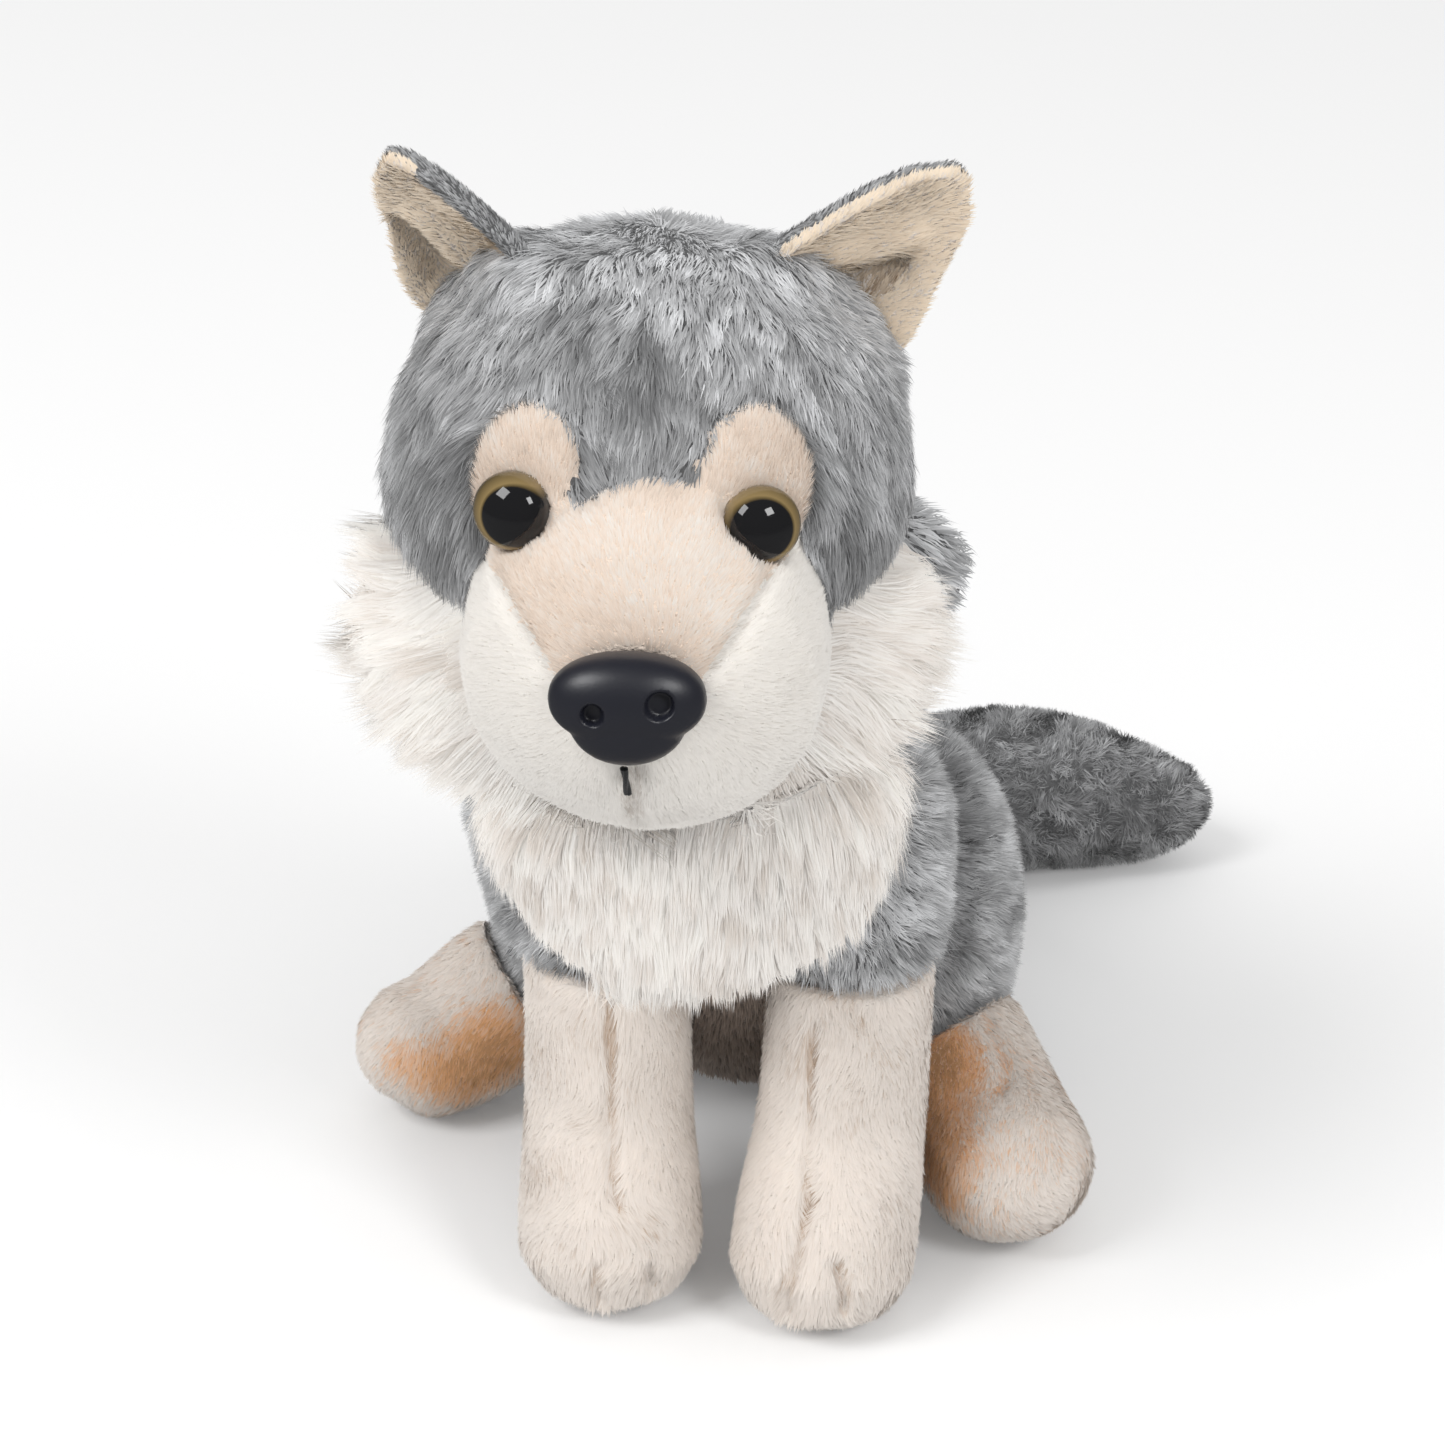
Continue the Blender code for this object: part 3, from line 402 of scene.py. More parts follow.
# Where the grey pile and the bridge are darker or paler: place in millimetres, reach in metres, amount of tone. On the
# head, darker low on both sides is painted shade, paler high on the left is painted light, and the darker forehead is
# the pile's own tone.
HEAD_SHADES = [
    ((-19.7, -72.5, 211.7), 0.010, -0.34),
    ((-7.0, -77.0, 207.5), 0.010, -0.22),
    ((-45.2, -84.9, 177.8), 0.013, -0.30),
    ((-49.8, -79.9, 187.0), 0.008, -0.10),
    ((27.1, -69.9, 168.5), 0.015, -0.34),
    ((25.0, -50.6, 197.0), 0.014, 0.14),
]
BRIDGE_SHADES = [
    ((-27.0, -108.0, 170.0), 0.016, 0.25),
    ((-5.0, -91.0, 191.0), 0.007, 0.35),
    ((-8.0, -118.0, 165.0), 0.012, 0.30),
]
# Painted light on the left shoulder: place in millimetres, reach in metres, amount of tone. Along the fold before the
# haunch the coat gets painted shade.
SLEEVE_PAINTED_LIGHT = [((30.0, -56.0, 85.0), 0.020, 0.14)]
HAUNCH_FOLD = [(31.1, 12.3, 82.9), (35.8, 5.7, 81.3), (40.0, -8.0, 71.0), (40.2, -15.2, 63.3), (41.3, -18.2, 53.3)]
FOOT_SEAM = [(44.6, -14.9, 43.1), (47.0, -16.7, 38.4), (51.1, -24.0, 36.4), (53.9, -30.3, 34.7), (52.7, -36.9, 34.2)]
SNOUT_SEAMS = [
    [
        (-34.9, -98.4, 175.7),
        (-30.7, -105.4, 173.8),
        (-26.9, -109.0, 169.1),
        (-23.2, -112.0, 165.1),
        (-18.0, -116.0, 162.0),
    ],
    [(16.1, -92.6, 178.4), (14.6, -99.5, 176.9), (12.5, -104.4, 173.4), (10.0, -108.4, 169.3), (5.0, -112.5, 163.5)],
]
BRIDGE_EDGE = [(-26.5, -98.7, 183.6), (-23.6, -95.2, 186.6), (-20.4, -92.9, 188.9), (-16.3, -90.9, 191.0)]
BRIDGE_EDGE += [(-7.9, -87.9, 193.0), (0.8, -86.9, 191.0), (6.2, -89.1, 187.6), (13.8, -94.7, 180.3)]
BRIDGE_EDGE += [(16.1, -92.6, 178.4)]
EAR_EDGE = [(-51.5, -56.5, 231.0), (-46.6, -56.3, 226.5), (-43.0, -56.8, 220.4), (-37.0, -55.9, 215.0)]
BROW_WEDGE = [(-15.5, -90.0, 192.5), (-19.9, -92.3, 190.1)]
CHIN_SEAM = [(-4.7, -120.0, 151.0), (-6.1, -116.5, 146.1), (-6.8, -114.2, 140.6), (-7.8, -108.5, 132.9)]
CHIN_SEAM += [(-8.6, -100.0, 127.0)]
EAR_FOLDS = {
    "left": ([(19.0, -28.5, 203.0), (22.5, -27.0, 204.4), (26.0, -26.5, 206.3)], 0.0045, 0.0024, (0.16, -0.96, -0.22)),
    "right": ([(-62.0, -43.8, 214.5), (-59.5, -40.5, 208.5), (-57.0, -37.2, 202.5)], 0.0048, 0.0034, (0.2, -0.9, -0.4)),
}
EAR_RIDGES = {
    "left": [(16.0, -31.0, 210.0), (22.0, -28.5, 210.5), (29.0, -27.0, 213.5)],
    "right": [(-59.0, -44.5, 218.0), (-55.0, -42.0, 213.0), (-51.5, -39.5, 208.0)],
}
# Painted shade in the pockets of the ears' folds, brown on the linings: place in millimetres, reach in metres, amount
# of tone
EAR_SHADES = {
    "left": [((20.2, -27.2, 203.3), 0.0044, 0.74), ((24.5, -26.6, 205.0), 0.0026, 0.20)],
    "right": [((-58.5, -38.8, 205.0), 0.0042, 0.26), ((-58.5, -37.0, 200.5), 0.0048, 0.18)],
}


def metres(line):
    """A line of places in millimetres, as places in metres."""
    return [tuple(part / 1000 for part in place) for place in line]


def nearest_on(line, point):
    """How far a point lies from a line that is given in millimetres."""
    return to_line(np.array(point)[None], metres(line))[0]


def seam_plane(line, outward):
    """(place, unit normal) of the plane through a seam that holds the photo's line of sight."""
    start, end = Vector(metres(line)[0]), Vector(metres(line)[-1])
    normal = (end - start).cross(Vector(PHOTO_SIGHT)).normalized()
    return start, normal if normal.x * outward > 0 else -normal


SEAM_RIGHT = seam_plane(SNOUT_SEAMS[0], -1)
SEAM_LEFT = seam_plane(SNOUT_SEAMS[1], 1)


class Finder:
    """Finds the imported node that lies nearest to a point."""

    def __init__(self, nodes):
        points, faces, self.owner = [], [], []
        for node in nodes:
            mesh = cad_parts[node].data
            start = len(points)
            points += [vertex.co.copy() for vertex in mesh.vertices]
            faces += [[start + i for i in face.vertices] for face in mesh.polygons]
            self.owner += [node] * len(mesh.polygons)
        self.tree = BVHTree.FromPolygons(points, faces)

    def node_at(self, point):
        """The nearest node's name, with the snout's panels parted along their stitched seams."""
        node = self.owner[self.tree.find_nearest(point)[2]]
        if node == "muzzle_bridge":
            if (point - SEAM_RIGHT[0]).dot(SEAM_RIGHT[1]) > 0:
                return "muzzle_side_right"
            if (point - SEAM_LEFT[0]).dot(SEAM_LEFT[1]) > 0:
                return "muzzle_side_left"
        if node == "ear_lining_right" and nearest_on(EAR_EDGE, point) < 0.0050:
            return "ear_back_right"
        if node in ("muzzle_bridge", "brow_patch_right") and nearest_on(BROW_WEDGE, point) < 0.0021:
            return "head_front"
        return node


def make_skin(name, insets, slot, voxel, smooth, seams=(), folds=(), meets=None):
    """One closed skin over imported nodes, drawn in from each by its inset so that the pile ends at their surface.

    Each seam is (line, depth, reach); each fold is (line, depth, reach, way), moving both leaves that way.
    Where the skin comes near the nodes it meets, (nodes, rise, reach), it rises to them.
    """
    nodes = tuple(insets)
    bm = remeshed(copy_of(*nodes), name, voxel)
    finder = Finder(nodes)
    owner = [finder.node_at(vertex.co) for vertex in bm.verts]
    depth = {vertex: insets[node] for vertex, node in zip(bm.verts, owner)}
    for _ in range(4):
        depth = {
            vertex: (own + sum(depth[edge.other_vert(vertex)] for edge in vertex.link_edges))
            / (1 + len(vertex.link_edges))
            for vertex, own in depth.items()
        }
    smoothed(bm, smooth)
    bm.normal_update()
    depths = np.array([depth[vertex] for vertex in bm.verts])
    for line, down, reach in seams:
        depths += down * np.exp(-((to_line(places(bm), metres(line)) / reach) ** 2))
    if meets:
        near = Finder(meets[0]).tree.find_nearest
        away = np.array([near(vertex.co)[3] for vertex in bm.verts])
        depths -= meets[1] * np.exp(-((away / meets[2]) ** 2))
    moves = places(bm) - np.array([v.normal for v in bm.verts]) * depths[:, None]
    for line, down, reach, way in folds:
        flat = np.eye(3) - np.outer(way, way)
        away = to_line(places(bm) @ flat, [np.array(place) @ flat for place in metres(line)])
        moves -= np.outer(down * np.exp(-((away / reach) ** 2)), way)
    for vertex, place in zip(bm.verts, moves):
        vertex.co = place
        vertex.co.z = max(vertex.co.z, 0.0)
    piece = piece_of(bm, name, slot, nodes)
    SKINS[name] = {"piece": piece, "finder": finder, "owner": np.array(owner), "depth": depths}
    return piece


def colour_skin(name, grounds):
    """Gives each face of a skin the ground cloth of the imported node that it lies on."""
    entry = SKINS[name]
    mesh = entry["piece"].data
    order = []
    for ground in grounds.values():
        if ground not in order:
            order.append(ground)
            mesh.materials.append(ground)
    of_vertex = np.array([order.index(grounds[node]) for node in entry["owner"]])
    first = read(mesh.polygons, "loop_start", kind=np.int32)
    corners = read(mesh.loops, "vertex_index", kind=np.int32)
    mesh.polygons.foreach_set("material_index", of_vertex[corners[first]].astype(np.int32))


def shade_ground(name, tone, limit, ground):
    """Gives the faces of a skin where a tone passes a limit their own ground cloth."""
    mesh = SKINS[name]["piece"].data
    mesh.materials.append(ground)
    index = read(mesh.polygons, "material_index", kind=np.int32)
    index[tone(read(mesh.polygons, "center", 3)) > limit] = len(mesh.materials) - 1
    mesh.polygons.foreach_set("material_index", index)


# Pile
def arrays_of(mesh):
    """(positions, normals, triangles) of a mesh."""
    mesh.calc_loop_triangles()
    points, normals = read(mesh.vertices, "co", 3), read(mesh.vertices, "normal", 3)
    return points, normals, read(mesh.loop_triangles, "vertices", 3, np.int32)


def unit(rows):
    """Each row at length one."""
    return rows / np.maximum(np.linalg.norm(rows, axis=-1, keepdims=True), 1e-9)


def wander(points, size, seed):
    """Three smooth random values from about -1 to 1 for each point, which change over this size."""
    rng = np.random.default_rng(seed)
    total = np.zeros((len(points), 3))
    for _ in range(5):
        waves = unit(rng.normal(size=(3, 3))) * (rng.uniform(0.6, 1.5, (3, 1)) * math.tau / size)
        total += np.sin(points @ waves.T + rng.uniform(0, math.tau, 3))
    return total / 2.6


def open_to_air(solid, points, normals, reach):
    """True where nothing stands within reach over the surface."""
    free = np.ones(len(points), bool)
    for i, (point, normal) in enumerate(zip(points, normals)):
        way = Vector(normal)
        hit = solid.ray_cast(Vector(point) + way * 0.0007, way, reach)
        free[i] = hit[0] is None
    return free


def all_around():
    """One search tree of every skin and of the eyes and the nose."""
    points, faces = [], []
    solids = [entry["piece"] for entry in SKINS.values()]
    solids += [bpy.data.objects[name] for name in ("eye_left_dome", "eye_right_dome", "nose_moulding")]
    for solid in solids:
        start = len(points)
        points += [vertex.co.copy() for vertex in solid.data.vertices]
        faces += [[start + i for i in face.vertices] for face in solid.data.polygons]
    return BVHTree.FromPolygons(points, faces)


def measure_skins(reach=0.0025):
    """Notes for each skin where it lies open, once all of them are there."""
    solid = all_around()
    for entry in SKINS.values():
        points, normals, triangles = arrays_of(entry["piece"].data)
        entry["points"], entry["normals"], entry["triangles"] = points, normals, triangles
        entry["open"] = open_to_air(solid, points, normals, reach)


def roots_on(skin, nodes, per_square_mm, rng):
    """(roots, normals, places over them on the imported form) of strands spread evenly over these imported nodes."""
    entry = SKINS[skin]
    points, normals, triangles = entry["points"], entry["normals"], entry["triangles"]
    wanted = np.isin(entry["owner"], nodes)
    corners = wanted[triangles]
    triangles = triangles[corners.any(1) & entry["open"][triangles].any(1)]
    a, b, c = (points[triangles[:, i]] for i in range(3))
    area = np.linalg.norm(np.cross(b - a, c - a), axis=1) / 2
    count = int(area.sum() * 1e6 * per_square_mm)
    if not count:
        raise RuntimeError(f"no open skin for {nodes}")
    pick = rng.choice(len(triangles), count, p=area / area.sum())
    u, v = rng.random(count), rng.random(count)
    flip = u + v > 1
    u[flip], v[flip] = 1 - u[flip], 1 - v[flip]
    share = np.stack([1 - u - v, u, v], 1)[:, :, None]
    corner = triangles[pick]
    root = (points[corner] * share).sum(1)
    normal = unit((normals[corner] * share).sum(1))
    depth = (entry["depth"][corner][:, :, None] * share).sum(1)
    sure = wanted[corner].all(1)
    outer = root + normal * depth
    keep = sure.copy()
    for i in np.flatnonzero(~sure):
        keep[i] = entry["finder"].node_at(Vector(outer[i])) in nodes
    return root[keep], normal[keep], outer[keep]


def grow(name, skin, nodes, material, flow, tone, pile, seed):
    """One mesh of strands that stand on a skin, each a flat blade that tapers to a point."""
    rng = np.random.default_rng(seed)
    root, normal, outer = roots_on(skin, nodes, pile["per_mm2"], rng)
    count = len(root)
    comb = flow(outer) + wander(root, pile.get("swirl_size", 0.02), seed) * pile.get("swirl", 0.25)
    comb += rng.normal(size=comb.shape) * pile.get("stray", 0.12)
    comb = unit(comb - normal * (comb * normal).sum(1, keepdims=True))
    length = pile["length"] * rng.uniform(1 - pile.get("uneven", 0.25), 1 + pile.get("uneven", 0.25), count)
    if "longer" in pile:
        length = length * pile["longer"](outer)
    lean = pile["lean"] + rng.normal(size=count) * 0.10
    if "flat" in pile:
        lean = lean * pile["flat"](outer)
    length = length[:, None]
    low, high = lean - pile.get("bend", 0.25), lean + pile.get("bend", 0.25)
    first = normal * np.cos(low)[:, None] + comb * np.sin(low)[:, None]
    then = normal * np.cos(high)[:, None] + comb * np.sin(high)[:, None]
    bend = root + first * length * 0.5
    tip = bend + then * length * 0.5

    centres = rng.choice(count, max(1, int(count / pile["per_tuft"])), replace=False)
    tree = KDTree(len(centres))
    for i, centre in enumerate(centres):
        tree.insert(Vector(root[centre]), i)
    tree.balance()
    own = np.array([tree.find(Vector(point))[1] for point in root])
    pull = pile["pull"] * rng.uniform(0.5, 1.0, (count, 1))
    gather = tip[centres[own]] + rng.normal(size=(count, 3)) * pile["length"] * 0.04
    tip = tip * (1 - pull) + gather * pull
    bend = bend * (1 - pull * 0.35) + bend[centres[own]] * pull * 0.35

    find = SKINS[skin]["finder"].node_at
    over = np.array([find(Vector(point)) not in nodes for point in tip])[:, None]
    keep = np.where(over, pile.get("overhang", 0.6), 1.0)
    tip, bend = root + (tip - root) * keep, root + (bend - root) * keep

    axis = unit(tip - root)
    side = unit(np.cross(axis, normal))
    roll = rng.normal(size=count)[:, None] * pile.get("roll", 0.45)
    side = side * np.cos(roll) + np.cross(axis, side) * np.sin(roll)
    wide = side * (pile["width"] * rng.uniform(0.7, 1.3, count) / 2)[:, None]
    shade = tone(outer) + rng.normal(size=len(centres))[own] * pile.get("tuft_tone", 0.12)
    shade = np.clip(shade + rng.normal(size=count) * pile.get("strand_tone", 0.12), 0.02, 0.98)

    if pile.get("bent", True):
        rows = np.stack([root - wide, root + wide, bend + wide * 0.8, bend - wide * 0.8, tip], 1)
        faces = np.array([[0, 1, 2], [0, 2, 3], [3, 2, 4]])
        up = np.array([0.0, 0.0, 0.5, 0.5, 1.0])
        across = np.array([-1.0, 1.0, 1.0, -1.0, 0.0])
    else:
        rows = np.stack([root - wide, root + wide, tip], 1)
        faces = np.array([[0, 1, 2]])
        up = np.array([0.0, 0.0, 1.0])
        across = np.array([-1.0, 1.0, 0.0])
    rows[:, :, 2] = np.maximum(rows[:, :, 2], 0.0002)
    flat = unit(np.cross(wide, axis))
    facing = unit(flat * (1 - pile.get("even", 0.6)) + normal * pile.get("even", 0.6))
    facing = unit(facing + np.array(LAMP_SIDE) * pile.get("through", 0.0))
    piece = strands_mesh(name, rows, faces, shade, up, across, facing)
    piece.visible_shadow = pile.get("shades", False)
    piece.data.materials.append(material)
    finished(piece)
    return piece


def strands_mesh(name, rows, faces, shade, up, across, facing):
    """The object of many equal strands, with tone and height in its map and normals that face these ways."""
    count, corners = rows.shape[:2]
    vertices = rows.reshape(-1, 3)
    starts = np.arange(count)[:, None, None] * corners
    triangles = (starts + faces[None]).reshape(-1)
    mesh = bpy.data.meshes.new(name)
    mesh.vertices.add(len(vertices))
    mesh.vertices.foreach_set("co", vertices.astype(np.float32).ravel())
    mesh.loops.add(len(triangles))
    mesh.loops.foreach_set("vertex_index", triangles.astype(np.int32))
    total = len(triangles) // 3
    mesh.polygons.add(total)
    mesh.polygons.foreach_set("loop_start", np.arange(0, total * 3, 3, dtype=np.int32))
    mesh.polygons.foreach_set("material_index", np.zeros(total, np.int32))
    mesh.update(calc_edges=True)
    layer = mesh.uv_layers.new(name="OFBake")
    place = np.zeros((count, corners, 2), np.float32)
    place[:, :, 0] = shade[:, None] + across[None] * 0.006
    place[:, :, 1] = 0.01 + up[None] * 0.98
    layer.uv.foreach_set("vector", place.reshape(-1, 2)[triangles].ravel())
    mesh.shade_smooth()
    mesh.normals_split_custom_set_from_vertices(np.repeat(facing, corners, axis=0).astype(np.float32))
    return bpy.data.objects.new(name, mesh)


# Combing and tone of each pile
def away_from(point, steady=(0.0, 0.0, 0.0)):
    """A combing away from a point, with a steady lean added."""

    def comb(root):
        return unit(root - np.array(point)) + np.array(steady)

    return comb


def one_way(direction):
    """A combing in one direction."""

    def comb(root):
        return np.tile(np.array(direction, float), (len(root), 1))

    return comb


def head_flow(root):
    """From a parting between the ears down over the head, and round the brow patches."""
    off = root - np.array(CROWN)
    off[:, 1] += 0.009 * wander(root, 0.012, 22)[:, 0]
    comb = unit(off * (0.35, 1.0, 1.0)) + 0.2 * wander(root, 0.012, 23)
    for brow in BROWS.values():
        off = root - np.array(brow)
        near = np.exp(-((np.linalg.norm(off, axis=1) / 0.015) ** 2))
        comb += unit(off) * near[:, None] * 0.9
    return comb


def head_lean(root):
    """Combed flat on the crown, a little fuller over the forehead."""
    front = np.clip((HEAD.y - 0.010 - root[:, 1]) / 0.02, 0, 1)
    return 1.20 - 0.18 * front


def head_length(root):
    """Shorter on the crown, longest over the forehead."""
    front = np.clip((HEAD.y - 0.002 - root[:, 1]) / 0.03, 0, 1)
    return 0.72 + 0.42 * front


def beside(line, reach, more):
    """A length that grows beside a line."""

    def length(root):
        return 1.0 + more * np.exp(-((to_line(root, metres(line)) / reach) ** 2))

    return length


def throat_length(root):
    """Longer below the cheeks, where the pile hangs over the join with the chest."""
    return 1.0 + 0.5 * np.clip((HEAD.z - 0.020 - root[:, 2]) / 0.015, 0, 1)


def mottled(middle_tone, amount, size, seed):
    """A tone that wanders about a middle."""

    def tone(root):
        return middle_tone + amount * wander(root, size, seed)[:, 0]

    return tone


def head_tone(root):
    """Paler on the crown and high on the left as painted light, darker low on both sides as painted shade, and darker
    over the brows as the pile's own tone.
    """
    # painted light: the crown (over) and the left side (side) paler
    over = (root[:, 2] - HEAD.z) / 0.05
    side = (root[:, 0] - HEAD.x) / 0.05
    brow = np.exp(-(((root[:, 2] - HEAD.z - 0.027) / 0.012) ** 2)) * (root[:, 1] < HEAD.y)
    round_about = np.arctan2(root[:, 0] - CROWN.x, CROWN.y - root[:, 1])
    lock = np.stack([round_about * 0.08, 0.22 * root[:, 2], 0 * side], 1)
    front = np.clip((HEAD.y - 0.01 - root[:, 1]) / 0.02, 0, 1)
    streak = wander(lock, 0.0065, 21)[:, 0] * (0.04 + 0.07 * front)
    # HEAD_SHADES: painted shade low on both sides, painted light high on the left, and the forehead's own darker tone
    patches = sprayed_and_shaded(HEAD_SHADES, 0.43, 11, (), 0.11)(root)
    return patches + 0.22 * over + 0.04 * side - 0.17 * brow + streak


def sprayed_and_shaded(spots, base=0.15, seed=5, lines=(), uneven=0.05):
    """A tone that rises by each amount round each (place, reach, amount), and along each line. It holds the sprayed
    colour of the hind feet, painted shade in seams, creases and folds, painted light, and the pile's own tone.
    """

    def tone(root):
        found = np.full(len(root), base) + uneven * wander(root, 0.015, seed)[:, 0]
        for spot, reach, amount in spots:
            away = np.linalg.norm(root - np.array(spot) / 1000, axis=1)
            found += amount * np.exp(-((away / reach) ** 2))
        for line, reach, amount in lines:
            found += amount * np.exp(-((to_line(root, metres(line)) / reach) ** 2))
        return found

    return tone


# Plastic pieces and thread
def axis_of(node, washer):
    """(apex, unit axis) of a moulded piece whose lock washer lies behind it on the same axis."""
    bm, ring = copy_of(node), copy_of(washer)
    centre = Vector(places(bm).mean(0))
    axis = (centre - Vector(places(ring).mean(0))).normalized()
    apex = max((vertex.co - centre).dot(axis) for vertex in bm.verts)
    bm.free()
    ring.free()
    return centre + axis * apex, axis


def eye_material(iris, black):
    """A painted eye under a clear gloss: black pupil, ring and dark rim, by distance from the middle."""
    made, tree, shader = shader_of("painted_eye", 0.05)
    place = tree.nodes.new("ShaderNodeUVMap")
    place.uv_map = "OFBake"
    middle_out = tree.nodes.new("ShaderNodeVectorMath")
    middle_out.operation = "DISTANCE"
    middle_out.inputs[1].default_value = (0.5, 0.5, 0.0)
    tree.links.new(place.outputs["UV"], middle_out.inputs[0])
    stops = [
        (0.0, black),
        (0.378, black),
        (0.393, scaled(iris, 0.45)),
        (0.425, scaled(iris, 1.30)),
        (0.480, scaled(iris, 1.00)),
        (0.560, scaled(iris, 0.55)),
        (0.640, scaled(iris, 0.20)),
    ]
    tree.links.new(ramp(tree, middle_out.outputs["Value"], stops), shader.inputs["Base Color"])
    return made


# Where each eye's ring is painted off its middle, in parts of its radius
LOOKS = {"left": (-0.18, 0.02), "right": (0.30, -0.02)}


def make_eye(side, material, diameter=0.0142, dome=0.0052, skirt=0.0060):
    """A domed plastic eye that stands in the cloth."""
    apex, axis = axis_of(f"eye_{side}", f"eye_washer_{side}")
    radius = diameter / 2
    bm = bmesh.new()
    arc = [(radius * math.sin(t), dome * math.cos(t)) for t in np.linspace(0, math.pi / 2, 14)]
    points = [bm.verts.new((x, 0, z)) for x, z in [*arc, (radius * 0.96, -skirt), (0.0, -skirt)]]
    edges = [bm.edges.new(pair) for pair in zip(points[:-1], points[1:])]
    bmesh.ops.spin(
        bm, geom=points + edges, cent=(0, 0, 0), axis=(0, 0, 1), angle=math.tau, steps=48, use_merge=True
    )
    bmesh.ops.remove_doubles(bm, verts=bm.verts[:], dist=0.00001)
    bmesh.ops.recalc_face_normals(bm, faces=bm.faces[:])
    flat = bm.loops.layers.uv.new("OFBake")
    for face in bm.faces:
        for loop in face.loops:
            place = (loop.vert.co.xy / radius - Vector(LOOKS[side])) / 2
            loop[flat].uv = (0.5 + place.x, 0.5 + place.y)
    turn = axis.to_track_quat("Z", "Y").to_matrix().to_4x4()
    bm.transform(Matrix.Translation(apex - axis * dome) @ turn)
    return piece_of(bm, f"eye_{side}_dome", "eye_plastic", [f"eye_{side}"], material)


def nose_material(black):
    """Satin black moulded plastic."""
    made, tree, shader = shader_of("moulded_nose", 0.40, specular=0.8)
    shader.inputs["Base Color"].default_value = (black[0] * 1.2, black[1] * 1.3, black[2] * 2.0, 1.0)
    bumped(tree, shader, noise(tree, 1400.0, 2.0), 0.00004, 0.5)
    return made


def blunt_ball(bm, centre, half, power):
    """Adds a ball with blunt ends, at this centre with these half sizes."""
    ball = bmesh.ops.create_uvsphere(bm, u_segments=48, v_segments=32, radius=1.0)["verts"]
    for vertex in ball:
        size = sum(abs(part) ** power for part in vertex.co) ** (1 / power)
        vertex.co = Vector(c + h * part / size for c, h, part in zip(centre, half, vertex.co))


# The nose's two blunt balls, (middle, half sizes, power), and its nostrils, (place, radius)
NOSE_BALLS = (
    ((0, 0.0022, -0.0070), (0.0139, 0.0083, 0.0072), 2.2),
    ((0, -0.0022, -0.0078), (0.0104, 0.0079, 0.0068), 2.0),
)
NOSTRILS = (((-0.0058, 0.0008), 0.0019), ((0.0058, 0.0026), 0.0024))
NOSTRIL_LIP, NOSTRIL_DEPTH = 0.0004, 0.0024


def make_nose(material):
    """The moulded nose: a wide blunt top over a narrower chin, with two round nostrils."""
    apex, axis = axis_of("nose", "nose_washer")
    across = Vector((0, 0, 1)).cross(axis).normalized()
    frame_to = Matrix((across, axis.cross(across), axis)).transposed().to_4x4()
    bm = bmesh.new()
    for ball in NOSE_BALLS:
        blunt_ball(bm, *ball)
    bmesh.ops.create_cone(
        bm, cap_ends=True, segments=24, radius1=0.0045, radius2=0.0045, depth=0.012,
        matrix=Matrix.Translation((0, 0, -0.014)),
    )
    bm = remeshed(bm, "nose_moulding", 0.00042)
    smoothed(bm, 10)
    for vertex in bm.verts:
        for hole, radius in NOSTRILS:
            away = math.hypot(vertex.co.x - hole[0], vertex.co.y - hole[1])
            if vertex.co.z > -0.007 and away < radius + NOSTRIL_LIP:
                share = min(1.0, (radius + NOSTRIL_LIP - away) / (2 * NOSTRIL_LIP))
                vertex.co.z -= NOSTRIL_DEPTH * share * share * (3 - 2 * share)
    bm.transform(Matrix.Translation(apex) @ frame_to)
    return piece_of(bm, "nose_moulding", "nose_plastic", ["nose"], material)


def washer_material(pale):
    """Pale nylon of the lock washers, faintly clouded."""
    made, tree, shader = shader_of("washer_nylon", 0.45)
    cloud = ramp(tree, noise(tree, 260.0), [(0.3, scaled(pale, 0.88)), (0.7, pale)])
    tree.links.new(cloud, shader.inputs["Base Color"])
    bumped(tree, shader, noise(tree, 1200.0), 0.00005, 0.5)
    return made


def finish_washers(material):
    """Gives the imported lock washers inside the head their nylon."""
    for name in ("eye_washer_left", "eye_washer_right", "nose_washer"):
        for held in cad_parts[name].material_slots:
            held.material = material


def thread_material(black):
    """Matt black thread."""
    made, tree, shader = shader_of("sewing_thread", 0.65, sheen=0.2)
    shader.inputs["Base Color"].default_value = (*black, 1.0)
    bumped(tree, shader, noise(tree, 3000.0, 2.0), 0.0001)
    return made


def make_stitch(material, ply=0.00050, turns=0.5, steps=32):
    """The mouth's stitch: two plies of thread twisted round each other."""
    low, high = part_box("mouth_stitch")
    bottom = Vector(((low.x + high.x) / 2, high.y, low.z))
    top = Vector(((low.x + high.x) / 2, low.y, high.z))
    run = (top - bottom) * 1.15
    bm = bmesh.new()
    for start in (0.0, math.pi):
        place = Matrix.Rotation(start, 4, "Z") @ Matrix.Translation((ply * 0.5, 0, 0))
        ring = bmesh.ops.create_circle(bm, segments=8, radius=ply, matrix=place)["verts"]
        edges = list({edge for vertex in ring for edge in vertex.link_edges})
        bmesh.ops.spin(
            bm,
            geom=ring + edges,
            cent=(0, 0, 0),
            axis=(0, 0, 1),
            dvec=(0, 0, run.length / steps),
            angle=turns * math.tau,
            steps=steps,
        )
    bmesh.ops.holes_fill(bm, edges=[edge for edge in bm.edges if edge.is_boundary], sides=0)
    bmesh.ops.recalc_face_normals(bm, faces=bm.faces[:])
    bm.transform(Matrix.Translation(bottom) @ run.to_track_quat("Z", "Y").to_matrix().to_4x4())
    return piece_of(bm, "mouth_thread", "black_thread", ["mouth_stitch"], material)


